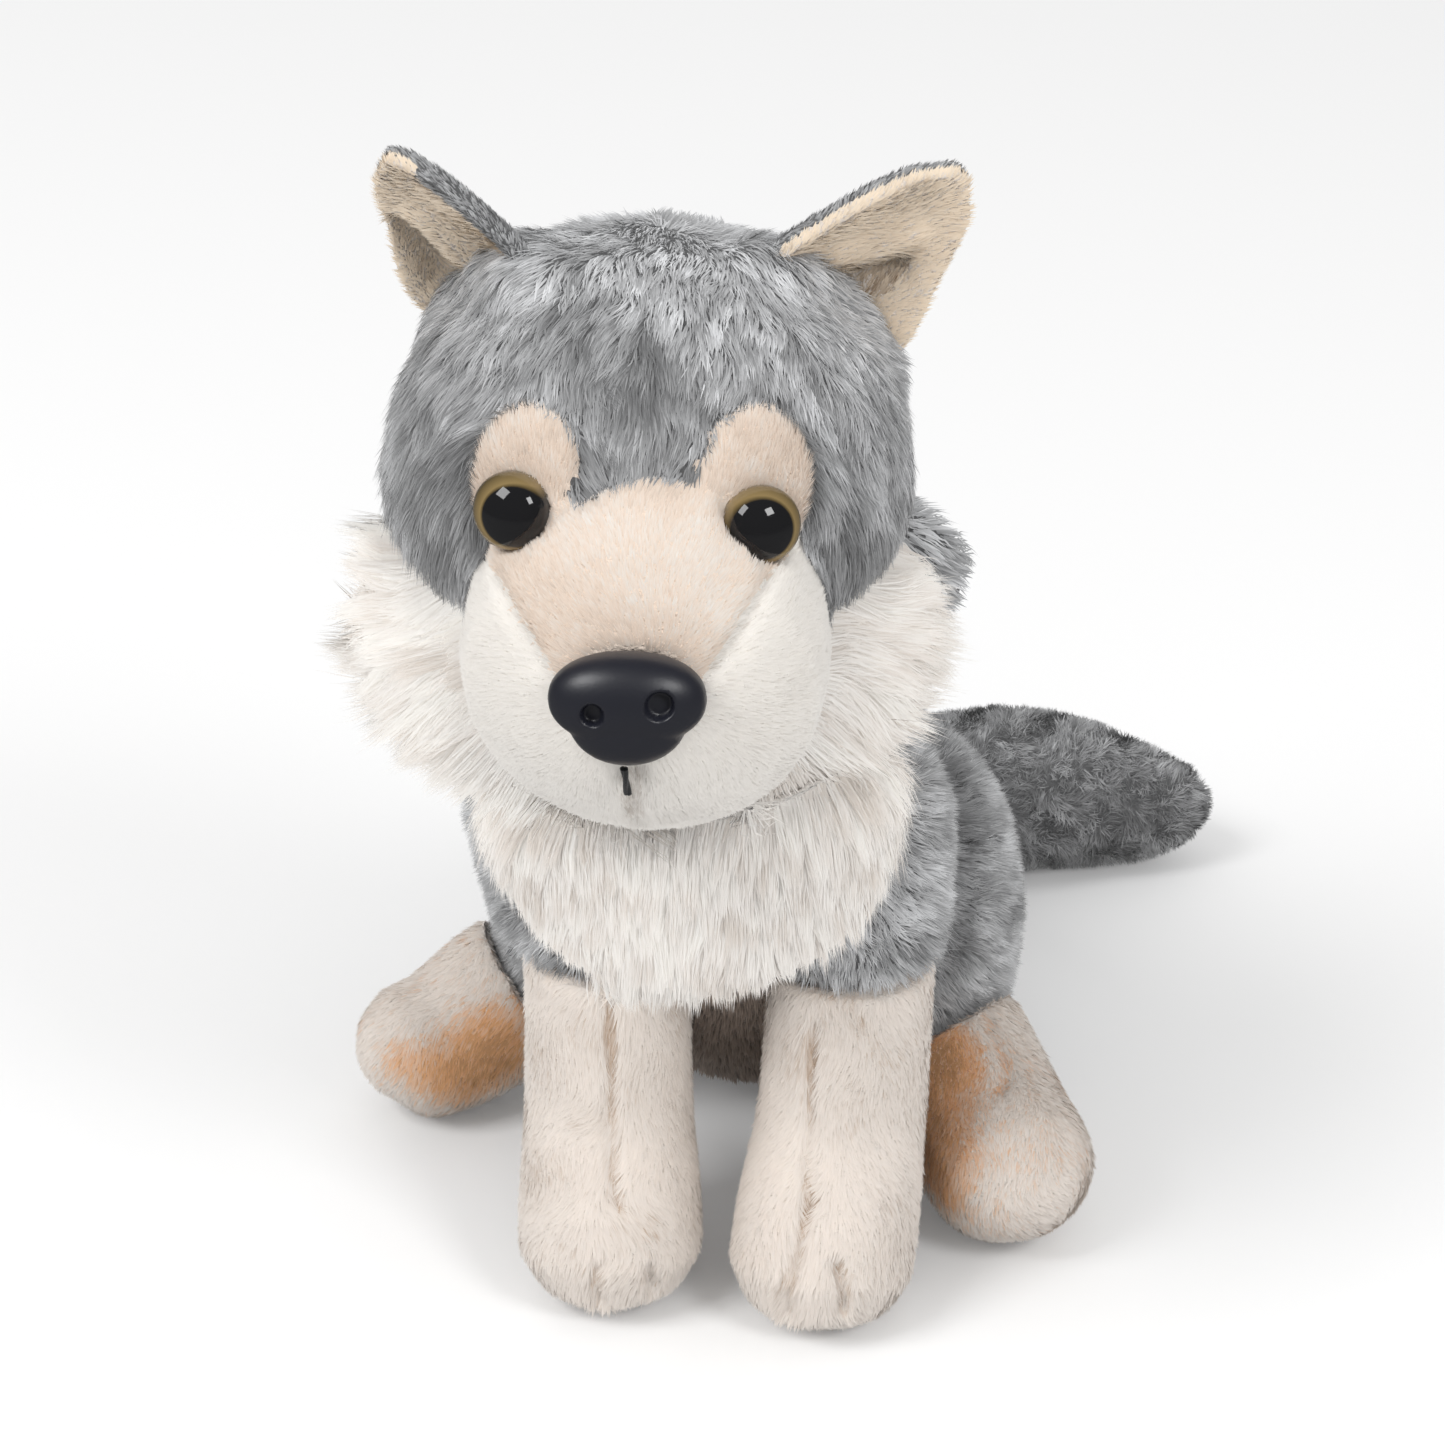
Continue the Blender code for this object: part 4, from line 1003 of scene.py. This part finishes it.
# Where the forelegs are more peach: place in millimetres, reach in metres, amount of tone
LEG_SHADES = {
    "left": [
        ((18.0, -66.0, 72.0), 0.016, 0.24),
        ((28.0, -72.0, 55.0), 0.012, 0.14),
        ((10.0, -82.0, 22.0), 0.012, -0.12),
    ],
    "right": [
        ((-14.0, -66.0, 72.0), 0.013, 0.20),
        ((-29.0, -78.0, 30.0), 0.013, 0.16),
        ((-22.0, -85.0, 12.0), 0.010, 0.10),
    ],
}

# Where the hind feet carry their spray of colour: place in millimetres, reach in metres, amount of tone
RUST_SPOTS = {
    "left": [
        ((40.0, -26.5, 34.5), 0.0072, 0.62),
        ((39.5, -37.0, 28.0), 0.0120, 0.55),
        ((41.0, -48.0, 20.0), 0.0105, 0.45),
        ((58.0, -52.0, 24.0), 0.0080, 0.10),
    ],
    "right": [
        ((-65.1, -29.1, 17.4), 0.0085, 0.46),
        ((-56.0, -24.0, 17.5), 0.0095, 0.50),
        ((-52.0, -20.0, 24.0), 0.0090, 0.40),
        ((-76.0, -28.0, 19.0), 0.0050, 0.22),
    ],
}

# What each skin covers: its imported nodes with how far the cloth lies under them, and its remesh
GREY_BACK = ("body", "shoulder_left", "shoulder_right", "haunch_left", "haunch_right")
HEAD_CLOTH = {
    "head_front": 0.0026,
    "head_back": 0.0026,
    "cheek_ruff": 0.0042,
    "muzzle_bridge": 0.0009,
    "muzzle_side_left": 0.0009,
    "muzzle_side_right": 0.0009,
    "brow_patch_left": 0.0010,
    "brow_patch_right": 0.0010,
}
TORSO_CLOTH = {
    **{node: 0.0022 for node in GREY_BACK},
    "tail": 0.0022,
    "belly_panel": 0.0010,
    "chest_bib": 0.0040,
    "nape_mane": 0.0034,
}


def make_skins(colours):
    """Every fabric skin, with its ground cloths."""
    # the grey and belly grounds are darker as painted shade deep in the pile; the white, ivory, tan and cream grounds
    # are lighter as painted light against the shade in the gaps between strands
    grey = cloth_material("grey_ground", colours.grey, 0.55)
    white = cloth_material("white_ground", colours.white, 1.08)
    ivory = cloth_material("ivory_ground", colours.ivory, 1.10, 0.95)
    tan = cloth_material("tan_ground", colours.tan, 1.10, 0.92)
    cream = cloth_material("cream_ground", colours.cream, 1.02, 0.90)
    belly = cloth_material("belly_ground", colours.belly, 0.9)
    rust = cloth_material("rust_ground", blended(colours.cream, colours.rust, 0.7), 1.0, 0.9)

    seams = [(line, 0.0013, 0.0011) for line in (*SNOUT_SEAMS, BRIDGE_EDGE)] + [(CHIN_SEAM, 0.0029, 0.0021)]
    ears = [f"ear_{leaf}_{side}" for leaf in ("back", "lining") for side in SIDES]
    meets = (ears, 0.0034, 0.0050)
    make_skin("head_cloth", HEAD_CLOTH, "grey_pile", voxel=0.0016, smooth=4, seams=seams, meets=meets)
    colour_skin(
        "head_cloth",
        {
            "head_front": grey,
            "head_back": grey,
            "cheek_ruff": white,
            "muzzle_bridge": tan,
            "muzzle_side_left": ivory,
            "muzzle_side_right": ivory,
            "brow_patch_left": tan,
            "brow_patch_right": tan,
        },
    )
    make_skin("torso_cloth", TORSO_CLOTH, "grey_pile", voxel=0.0024, smooth=4)
    grounds = {node: grey for node in TORSO_CLOTH}
    grounds.update(belly_panel=belly, chest_bib=white)
    colour_skin("torso_cloth", grounds)
    for side in SIDES:
        leg, foot = f"foreleg_{side}", f"hind_foot_{side}"
        seams = [(LEG_SEAMS[side], 0.0019, 0.0013)]
        seams += [(line, 0.0024, 0.0014) for line in TOE_CREASES[side]]
        make_skin(f"{leg}_cloth", {leg: 0.0009}, "cream_plush", voxel=0.0012, smooth=6, seams=seams)
        colour_skin(f"{leg}_cloth", {leg: cream})
        seams = [(FOOT_SEAM, 0.0011, 0.0013)] if side == "left" else []
        make_skin(f"{foot}_cloth", {foot: 0.0010}, "tan_plush", voxel=0.0014, smooth=6, seams=seams)
        colour_skin(f"{foot}_cloth", {foot: cream})
        shade_ground(f"{foot}_cloth", sprayed_and_shaded(RUST_SPOTS[side], 0.20, 30), 0.48, rust)
        back, lining = f"ear_back_{side}", f"ear_lining_{side}"
        fold, down, reach, way = EAR_FOLDS[side]
        folds = [(fold, down, reach, way), (EAR_RIDGES[side], -0.0022, 0.0030, way)]
        insets = {back: 0.0009, lining: 0.0005}
        make_skin(f"ear_{side}_cloth", insets, "cream_plush", voxel=0.0010, smooth=4, folds=folds)
        colour_skin(f"ear_{side}_cloth", {back: grey, lining: cream})


def pile(length, per_mm2, width, lean, per_tuft, draw, **more):
    """The settings of one pile: sizes in metres, lean from upright in degrees, and how it draws into tufts."""
    settings = {
        "length": length,
        "per_mm2": per_mm2,
        "width": width,
        "lean": math.radians(lean),
        "per_tuft": per_tuft,
        "pull": draw,
    }
    return {**settings, **more}


def grow_head(sizes, colours):
    """The grey pile of the head and the nape."""
    stops = pile_stops(scaled(colours.grey, 1.60), 0.40, 1.85)
    hair = pile_material("grey_head_pile", stops, root=0.70)
    long = pile(
        sizes.head_length, 3.0 * sizes.density, sizes.strand_width * 0.85,
        lean=62, per_tuft=18, draw=0.5, swirl=0.22,
    )
    long.update(roll=0.25, even=0.8, tuft_tone=0.12, strand_tone=0.10, bend=0.12, flat=head_lean, longer=head_length)
    nodes = ["head_front", "head_back"]
    grow("pile_head", "head_cloth", nodes, hair, head_flow, head_tone, long, sizes.seed)
    sweep = away_from(HEAD, (0.0, 0.1, -0.6))
    mane = pile(
        sizes.head_length * 0.8, 1.3 * sizes.density, sizes.strand_width * 1.1,
        lean=62, per_tuft=16, draw=0.5, swirl=0.3,
    )
    tone = mottled(0.66, 0.08, 0.015, 4)
    grow("pile_nape", "torso_cloth", ["nape_mane"], hair, sweep, tone, mane, sizes.seed + 1)


def grow_white(sizes, colours):
    """The long white pile of the cheeks and the chest."""
    shade = tuple(part * share for part, share in zip(colours.white, (0.93, 0.90, 0.87)))
    stops = [(0.0, shade), (0.55, scaled(colours.white, 1.06)), (1.0, scaled(colours.white, 1.12))]
    hair = pile_material("white_long_hair", stops, root=0.95, sheen=0.15)
    cheek = pile(
        sizes.ruff_length, 5.0 * sizes.density, sizes.strand_width * 0.72,
        lean=56, per_tuft=50, draw=0.72, swirl=0.35,
    )
    cheek.update(through=0.45, uneven=0.35, even=0.95, roll=0.2, tuft_tone=0.2, longer=throat_length)
    outward = away_from((SNOUT.x, SNOUT.y, HEAD.z - 0.008), (0.0, 0.10, -0.25))
    tone = mottled(0.55, 0.30, 0.009, 8)
    grow("pile_cheeks", "head_cloth", ["cheek_ruff"], hair, outward, tone, cheek, sizes.seed + 2)
    chest = pile(
        sizes.bib_length, 5.6 * sizes.density, sizes.strand_width * 0.68,
        lean=64, per_tuft=40, draw=0.62, swirl=0.35,
    )
    chest.update(through=0.08, overhang=0.28, even=0.95, roll=0.2, tuft_tone=0.2, uneven=0.35)
    down = away_from((HEAD.x, HEAD.y, HEAD.z + 0.05), (0.0, 0.0, -1.6))
    grow("pile_chest", "torso_cloth", ["chest_bib"], hair, down, tone, chest, sizes.seed + 3)


def grow_snout(sizes, colours):
    """The short velour of the snout and the brow patches."""
    velour = pile(
        sizes.velour_length, 8.1 * sizes.density, SNOUT_STRAND,
        lean=73, per_tuft=7, draw=0.25, bent=False, swirl=0.25,
    )
    velour.update(even=0.92, roll=0.22, tuft_tone=0.07, strand_tone=0.10, overhang=0.35)
    back = away_from(NOSE, (0.0, 0.2, 0.0))
    stops = [(0.0, colours.ivory), (0.55, colours.tan), (1.0, scaled(colours.tan, 0.78))]
    tan = pile_material("tan_velour", stops, 0.9)
    # painted shade along the snout's seams, where the cloth dips in
    tone = sprayed_and_shaded(BRIDGE_SHADES, 0.30, 6, [(SNOUT_SEAMS[0], 0.002, 0.25), (SNOUT_SEAMS[1], 0.0012, 0.25)])
    grow("velour_bridge", "head_cloth", ["muzzle_bridge"], tan, back, tone, velour, sizes.seed + 4)
    pale = scaled(colours.ivory, 1.09)
    stops = [(0.0, pale), (0.4, scaled(colours.ivory, 1.04)), (1.0, scaled(colours.tan, 0.62))]
    ivory = pile_material("ivory_velour_hair", stops, 0.95)
    nodes = ["muzzle_side_left", "muzzle_side_right"]
    # painted shade along the chin's crease and the snout's seams
    tone = sprayed_and_shaded([], 0.18, 9, [(CHIN_SEAM, 0.0016, 0.38), (SNOUT_SEAMS[0], 0.001, 0.2), (SNOUT_SEAMS[1], 0.001, 0.2)])
    grow("velour_sides", "head_cloth", nodes, ivory, back, tone, velour, sizes.seed + 5)
    brow = {**velour, "length": sizes.velour_length * 1.3, "lean": math.radians(58)}
    nodes = ["brow_patch_left", "brow_patch_right"]
    up = one_way((0.0, 0.3, 1.0))
    tone = mottled(0.5, 0.15, 0.008, 10)
    grow("velour_brows", "head_cloth", nodes, tan, up, tone, brow, sizes.seed + 6)


def grow_coat(sizes, colours):
    """The shorter grey pile of the body and the tail, and the underside."""
    stops = pile_stops(scaled(colours.grey, 1.45), 0.40, 1.95)
    hair = pile_material("grey_coat_pile", stops, root=0.58)
    coat = pile(
        sizes.coat_length * 0.9, 4.1 * sizes.density, sizes.strand_width * 0.8,
        lean=40, per_tuft=13, draw=0.45, swirl=0.5,
    )
    coat.update(bent=False, roll=0.3, even=0.75, tuft_tone=0.14, strand_tone=0.10, stray=0.3, swirl_size=0.009)
    back = one_way((0.0, 0.55, -0.85))
    tone = mottled(0.42, 0.16, 0.013, 12)
    grow("pile_back", "torso_cloth", ["body"], hair, back, tone, coat, sizes.seed + 7)
    limbs = list(GREY_BACK[1:])
    # painted light on the left shoulder, painted shade along the fold in front of the haunch
    tone = sprayed_and_shaded(SLEEVE_PAINTED_LIGHT, 0.60, 12, [(HAUNCH_FOLD, 0.007, -0.34)], 0.16)
    grow("pile_limbs", "torso_cloth", limbs, hair, back, tone, coat, sizes.seed + 8)
    low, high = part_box("tail")
    along = one_way((high.x - low.x, (high.y - low.y) * 0.6, -0.02))
    short = {**coat, "length": sizes.coat_length * 0.66, "lean": math.radians(52), "per_mm2": 4.9 * sizes.density}
    # paler towards the tip of the tail
    tone = sprayed_and_shaded([((high.x * 1000 - 3, high.y * 1000 - 3, 40), 0.022, 0.34)], 0.28, 13, (), 0.13)
    grow("pile_tail", "torso_cloth", ["tail"], hair, along, tone, short, sizes.seed + 9)
    under = pile(
        sizes.coat_length * 0.7, 1.6 * sizes.density, sizes.strand_width * 1.3,
        lean=55, per_tuft=6, draw=0.3, bent=False,
    )
    brown = pile_material("belly_pile", pile_stops(colours.belly, 0.7, 1.3), 0.5)
    tone = mottled(0.5, 0.1, 0.02, 14)
    grow("pile_belly", "torso_cloth", ["belly_panel"], brown, back, tone, under, sizes.seed + 10)


def grow_legs(sizes, colours):
    """The short plush of the forelegs, and of the hind feet with their spray of colour."""
    velour = pile(
        sizes.velour_length * 1.1, 5.6 * sizes.density, LEG_STRAND,
        lean=71, per_tuft=8, draw=0.30, bent=False, swirl=0.45,
    )
    velour.update(even=0.85, roll=0.28, tuft_tone=0.07, strand_tone=0.09)
    pale = scaled(colours.cream, 1.12)
    stops = [(0.0, pale), (0.5, scaled(colours.cream, 1.04)), (1.0, (0.50, 0.36, 0.25))]
    cream = pile_material("cream_plush_hair", stops, 0.92)
    stops = [(0.0, pale), (0.30, scaled(colours.cream, 1.02)), (0.55, blended(colours.cream, colours.rust, 0.55))]
    stops += [(0.78, colours.rust), (1.0, scaled(colours.rust, 0.72))]
    foot = pile_material("sprayed_plush_hair", stops, 0.90)
    down = one_way((0.0, -0.15, -1.0))
    for i, side in enumerate(SIDES):
        leg = f"foreleg_{side}"
        # painted shade along the leg's seam and in the toe creases
        creases = [(line, 0.0009, 0.42) for line in TOE_CREASES[side]]
        tone = sprayed_and_shaded(LEG_SHADES[side], 0.26, 20 + i, [(LEG_SEAMS[side], 0.0009, 0.45), *creases], 0.16)
        fluffy = {**velour, "longer": beside(LEG_SEAMS[side] + TOE_CREASES[side][0], 0.006, 0.8)}
        grow(f"plush_{leg}", f"{leg}_cloth", [leg], cream, down, tone, fluffy, sizes.seed + 11 + i)
        hind = f"hind_foot_{side}"
        # the spots are the feet's sprayed colour; the foot's seam gets painted shade
        tone = sprayed_and_shaded(RUST_SPOTS[side], 0.20, 30 + i, [(FOOT_SEAM, 0.0012, 0.2)], 0.07)
        outward = away_from(middle(f"haunch_{side}"), (0.0, 0.0, -0.4))
        soft = {**velour, "tuft_tone": 0.06, "strand_tone": 0.09}
        grow(f"plush_{hind}", f"{hind}_cloth", [hind], foot, outward, tone, soft, sizes.seed + 13 + i)


def grow_ears(sizes, colours):
    """The grey backs and the cream linings of the ears."""
    stops = pile_stops(scaled(colours.grey, 1.5), 0.5, 1.6)
    grey = pile_material("ear_back_pile", stops, 0.55)
    warm = tuple(part * share for part, share in zip(colours.cream, (1.10, 1.03, 0.90)))
    # the dark brown end is the painted shade in the pockets of the folds
    stops = [(0.0, scaled(warm, 1.06)), (0.4, warm), (1.0, (0.21, 0.12, 0.06))]
    cream = pile_material("ear_lining_pile", stops, 0.9)
    coat = pile(
        sizes.coat_length * 0.36, 5.5 * sizes.density, sizes.strand_width * 0.8,
        lean=66, per_tuft=8, draw=0.4, bent=False,
    )
    coat.update(overhang=0.25)
    velour = pile(
        sizes.velour_length * 1.1, 6.0 * sizes.density, EAR_STRAND,
        lean=68, per_tuft=6, draw=0.3, bent=False, swirl=0.4,
    )
    velour.update(even=0.80, roll=0.3, tuft_tone=0.10, strand_tone=0.08, through=0.5)
    up = away_from(HEAD)
    for i, side in enumerate(SIDES):
        skin = f"ear_{side}_cloth"
        tone = mottled(0.55, 0.12, 0.01, 40 + i)
        grow(f"pile_ear_{side}", skin, [f"ear_back_{side}"], grey, up, tone, coat, sizes.seed + 15 + i)
        # painted shade in the fold's pocket and along the fold
        tone = sprayed_and_shaded(EAR_SHADES[side], 0.24, 42 + i, [(EAR_FOLDS[side][0], 0.0016, 0.25)], 0.14)
        node = f"ear_lining_{side}"
        grow(f"velour_ear_{side}", skin, [node], cream, up, tone, velour, sizes.seed + 17 + i)


# Studio
def make_studio(studio):
    """The floor, the lamps, the surround and the camera."""
    bm = bmesh.new()
    bmesh.ops.create_grid(bm, x_segments=2, y_segments=2, size=3.0, matrix=Matrix.Translation((0, 0, -0.0002)))
    mesh = bpy.data.meshes.new("studio_floor")
    bm.to_mesh(mesh)
    bm.free()
    made, tree, shader = shader_of("studio_paper", 0.7, specular=0.1)
    shader.inputs["Emission Color"].default_value = (1.0, 1.0, 1.0, 1.0)
    seen = tree.nodes.new("ShaderNodeLightPath")
    dim = scaled(studio.floor, studio.mirrored * 2)
    paper = ramp(tree, seen.outputs["Is Glossy Ray"], [(0.0, tuple(studio.floor)), (1.0, dim)])
    tree.links.new(paper, shader.inputs["Base Color"])
    lift = tree.nodes.new("ShaderNodeMath")
    lift.operation = "MULTIPLY"
    lift.inputs[1].default_value = studio.floor_lift
    tree.links.new(seen.outputs["Is Camera Ray"], lift.inputs[0])
    tree.links.new(lift.outputs["Value"], shader.inputs["Emission Strength"])
    mesh.materials.append(made)
    floor = bpy.data.objects.new("studio_floor", mesh)
    bpy.context.scene.collection.objects.link(floor)

    world = bpy.data.worlds.new("studio_surround")
    world.use_nodes = True
    bpy.context.scene.world = world
    nodes, links = world.node_tree.nodes, world.node_tree.links
    around = nodes["Background"]
    around.inputs["Color"].default_value = (1.0, 1.0, 1.0, 1.0)
    path = nodes.new("ShaderNodeLightPath")
    either = nodes.new("ShaderNodeMath")
    either.operation = "MAXIMUM"
    links.new(path.outputs["Is Camera Ray"], either.inputs[0])
    links.new(path.outputs["Is Transmission Ray"], either.inputs[1])
    strength = nodes.new("ShaderNodeMapRange")
    strength.inputs["To Min"].default_value = studio.fill
    strength.inputs["To Max"].default_value = 1.0
    links.new(either.outputs["Value"], strength.inputs["Value"])
    gloss = nodes.new("ShaderNodeMapRange")
    gloss.inputs["To Max"].default_value = studio.mirrored
    links.new(path.outputs["Is Glossy Ray"], gloss.inputs["Value"])
    links.new(strength.outputs["Result"], gloss.inputs["To Min"])
    links.new(gloss.outputs["Result"], around.inputs["Strength"])

    target = Vector(studio.target)
    for name, place, size, share in LAMPS:
        lamp = bpy.data.lights.new(name, "AREA")
        lamp.energy = studio.key * share
        lamp.size = size
        holder = bpy.data.objects.new(name, lamp)
        holder.location = target + Vector(place)
        holder.rotation_euler = (-Vector(place)).to_track_quat("-Z", "Y").to_euler()
        bpy.context.scene.collection.objects.link(holder)

    a, e = studio.azimuth, studio.elevation
    back = Vector((math.sin(a) * math.cos(e), -math.cos(a) * math.cos(e), math.sin(e)))
    view = bpy.data.cameras.new("studio_camera")
    view.lens = studio.lens
    view.sensor_width = 36.0
    view.clip_start = 0.01
    camera = bpy.data.objects.new("studio_camera", view)
    camera.location = target + back * studio.distance
    camera.rotation_euler = (-back).to_track_quat("-Z", "Y").to_euler()
    bpy.context.scene.collection.objects.link(camera)
    bpy.context.scene.camera = camera
    bpy.context.scene.view_settings.view_transform = "Standard"


# Operators, panel and run
class WOLF_OT_studio(bpy.types.Operator):
    """Makes the floor, the lamps, the surround and the camera"""

    bl_idname = "wolf.studio"
    bl_label = "Studio"

    def execute(self, context):
        make_studio(context.scene.wolf_studio)
        return {"FINISHED"}


class WOLF_OT_skins(bpy.types.Operator):
    """Makes the stuffed cloth skins of the head, the body, the legs and the ears"""

    bl_idname = "wolf.skins"
    bl_label = "Cloth skins"

    def execute(self, context):
        make_skins(context.scene.wolf_colours)
        return {"FINISHED"}


class WOLF_OT_eyes(bpy.types.Operator):
    """Makes both domed plastic eyes and finishes the lock washers"""

    bl_idname = "wolf.eyes"
    bl_label = "Eyes"

    def execute(self, context):
        colours = context.scene.wolf_colours
        painted = eye_material(tuple(colours.iris), tuple(colours.black))
        for side in SIDES:
            make_eye(side, painted)
        finish_washers(washer_material(tuple(colours.ivory)))
        return {"FINISHED"}


class WOLF_OT_nose(bpy.types.Operator):
    """Makes the moulded nose and the stitched mouth"""

    bl_idname = "wolf.nose"
    bl_label = "Nose and mouth"

    def execute(self, context):
        black = tuple(context.scene.wolf_colours.black)
        make_nose(nose_material(black))
        make_stitch(thread_material(black))
        return {"FINISHED"}


class WOLF_OT_head_pile(bpy.types.Operator):
    """Grows the grey pile of the head and the nape"""

    bl_idname = "wolf.head_pile"
    bl_label = "Head pile"

    def execute(self, context):
        grow_head(context.scene.wolf_pile, context.scene.wolf_colours)
        return {"FINISHED"}


class WOLF_OT_white_pile(bpy.types.Operator):
    """Grows the long white pile of the cheeks and the chest"""

    bl_idname = "wolf.white_pile"
    bl_label = "Cheek and chest pile"

    def execute(self, context):
        grow_white(context.scene.wolf_pile, context.scene.wolf_colours)
        return {"FINISHED"}


class WOLF_OT_snout_velour(bpy.types.Operator):
    """Grows the short velour of the snout and the brow patches"""

    bl_idname = "wolf.snout_velour"
    bl_label = "Snout velour"

    def execute(self, context):
        grow_snout(context.scene.wolf_pile, context.scene.wolf_colours)
        return {"FINISHED"}


class WOLF_OT_coat(bpy.types.Operator):
    """Grows the grey pile of the body and the tail, and the underside"""

    bl_idname = "wolf.coat"
    bl_label = "Coat"

    def execute(self, context):
        grow_coat(context.scene.wolf_pile, context.scene.wolf_colours)
        return {"FINISHED"}


class WOLF_OT_leg_plush(bpy.types.Operator):
    """Grows the short plush of the forelegs and the hind feet"""

    bl_idname = "wolf.leg_plush"
    bl_label = "Leg plush"

    def execute(self, context):
        grow_legs(context.scene.wolf_pile, context.scene.wolf_colours)
        return {"FINISHED"}


class WOLF_OT_ear_pile(bpy.types.Operator):
    """Grows the pile of the ears"""

    bl_idname = "wolf.ear_pile"
    bl_label = "Ear pile"

    def execute(self, context):
        grow_ears(context.scene.wolf_pile, context.scene.wolf_colours)
        return {"FINISHED"}


OPERATORS = (
    WOLF_OT_studio,
    WOLF_OT_skins,
    WOLF_OT_eyes,
    WOLF_OT_nose,
    WOLF_OT_head_pile,
    WOLF_OT_white_pile,
    WOLF_OT_snout_velour,
    WOLF_OT_coat,
    WOLF_OT_leg_plush,
    WOLF_OT_ear_pile,
)


class WOLF_PT_panel(bpy.types.Panel):
    """Lists the wolf's sizes, colours and pieces"""

    bl_idname = "WOLF_PT_panel"
    bl_label = "Plush wolf"
    bl_space_type = "VIEW_3D"
    bl_region_type = "UI"
    bl_category = "Plush wolf"

    def draw(self, context):
        for group in (context.scene.wolf_pile, context.scene.wolf_colours, context.scene.wolf_studio):
            box = self.layout.box()
            for name in group.bl_rna.properties.keys():
                if name not in ("rna_type", "name"):
                    box.prop(group, name)
        for made in OPERATORS:
            self.layout.operator(made.bl_idname)


GROUPS = (("wolf_pile", PileSizes), ("wolf_colours", WolfColours), ("wolf_studio", StudioSizes))


def register():
    """Adds the sizes, the operators and the panel."""
    for name, group in GROUPS:
        bpy.utils.register_class(group)
        setattr(bpy.types.Scene, name, PointerProperty(type=group))
    for made in (*OPERATORS, WOLF_PT_panel):
        bpy.utils.register_class(made)


def unregister():
    """Takes the panel, the operators and the sizes away again."""
    for made in (WOLF_PT_panel, *reversed(OPERATORS)):
        bpy.utils.unregister_class(made)
    for name, group in reversed(GROUPS):
        delattr(bpy.types.Scene, name)
        bpy.utils.unregister_class(group)


def main():
    """Makes the whole wolf and notes its sizes."""
    register()
    bpy.ops.wolf.studio()
    bpy.ops.wolf.skins()
    bpy.ops.wolf.eyes()
    bpy.ops.wolf.nose()
    measure_skins()
    bpy.ops.wolf.head_pile()
    bpy.ops.wolf.white_pile()
    bpy.ops.wolf.snout_velour()
    bpy.ops.wolf.coat()
    bpy.ops.wolf.leg_plush()
    bpy.ops.wolf.ear_pile()


if __name__ == "__main__":
    main()
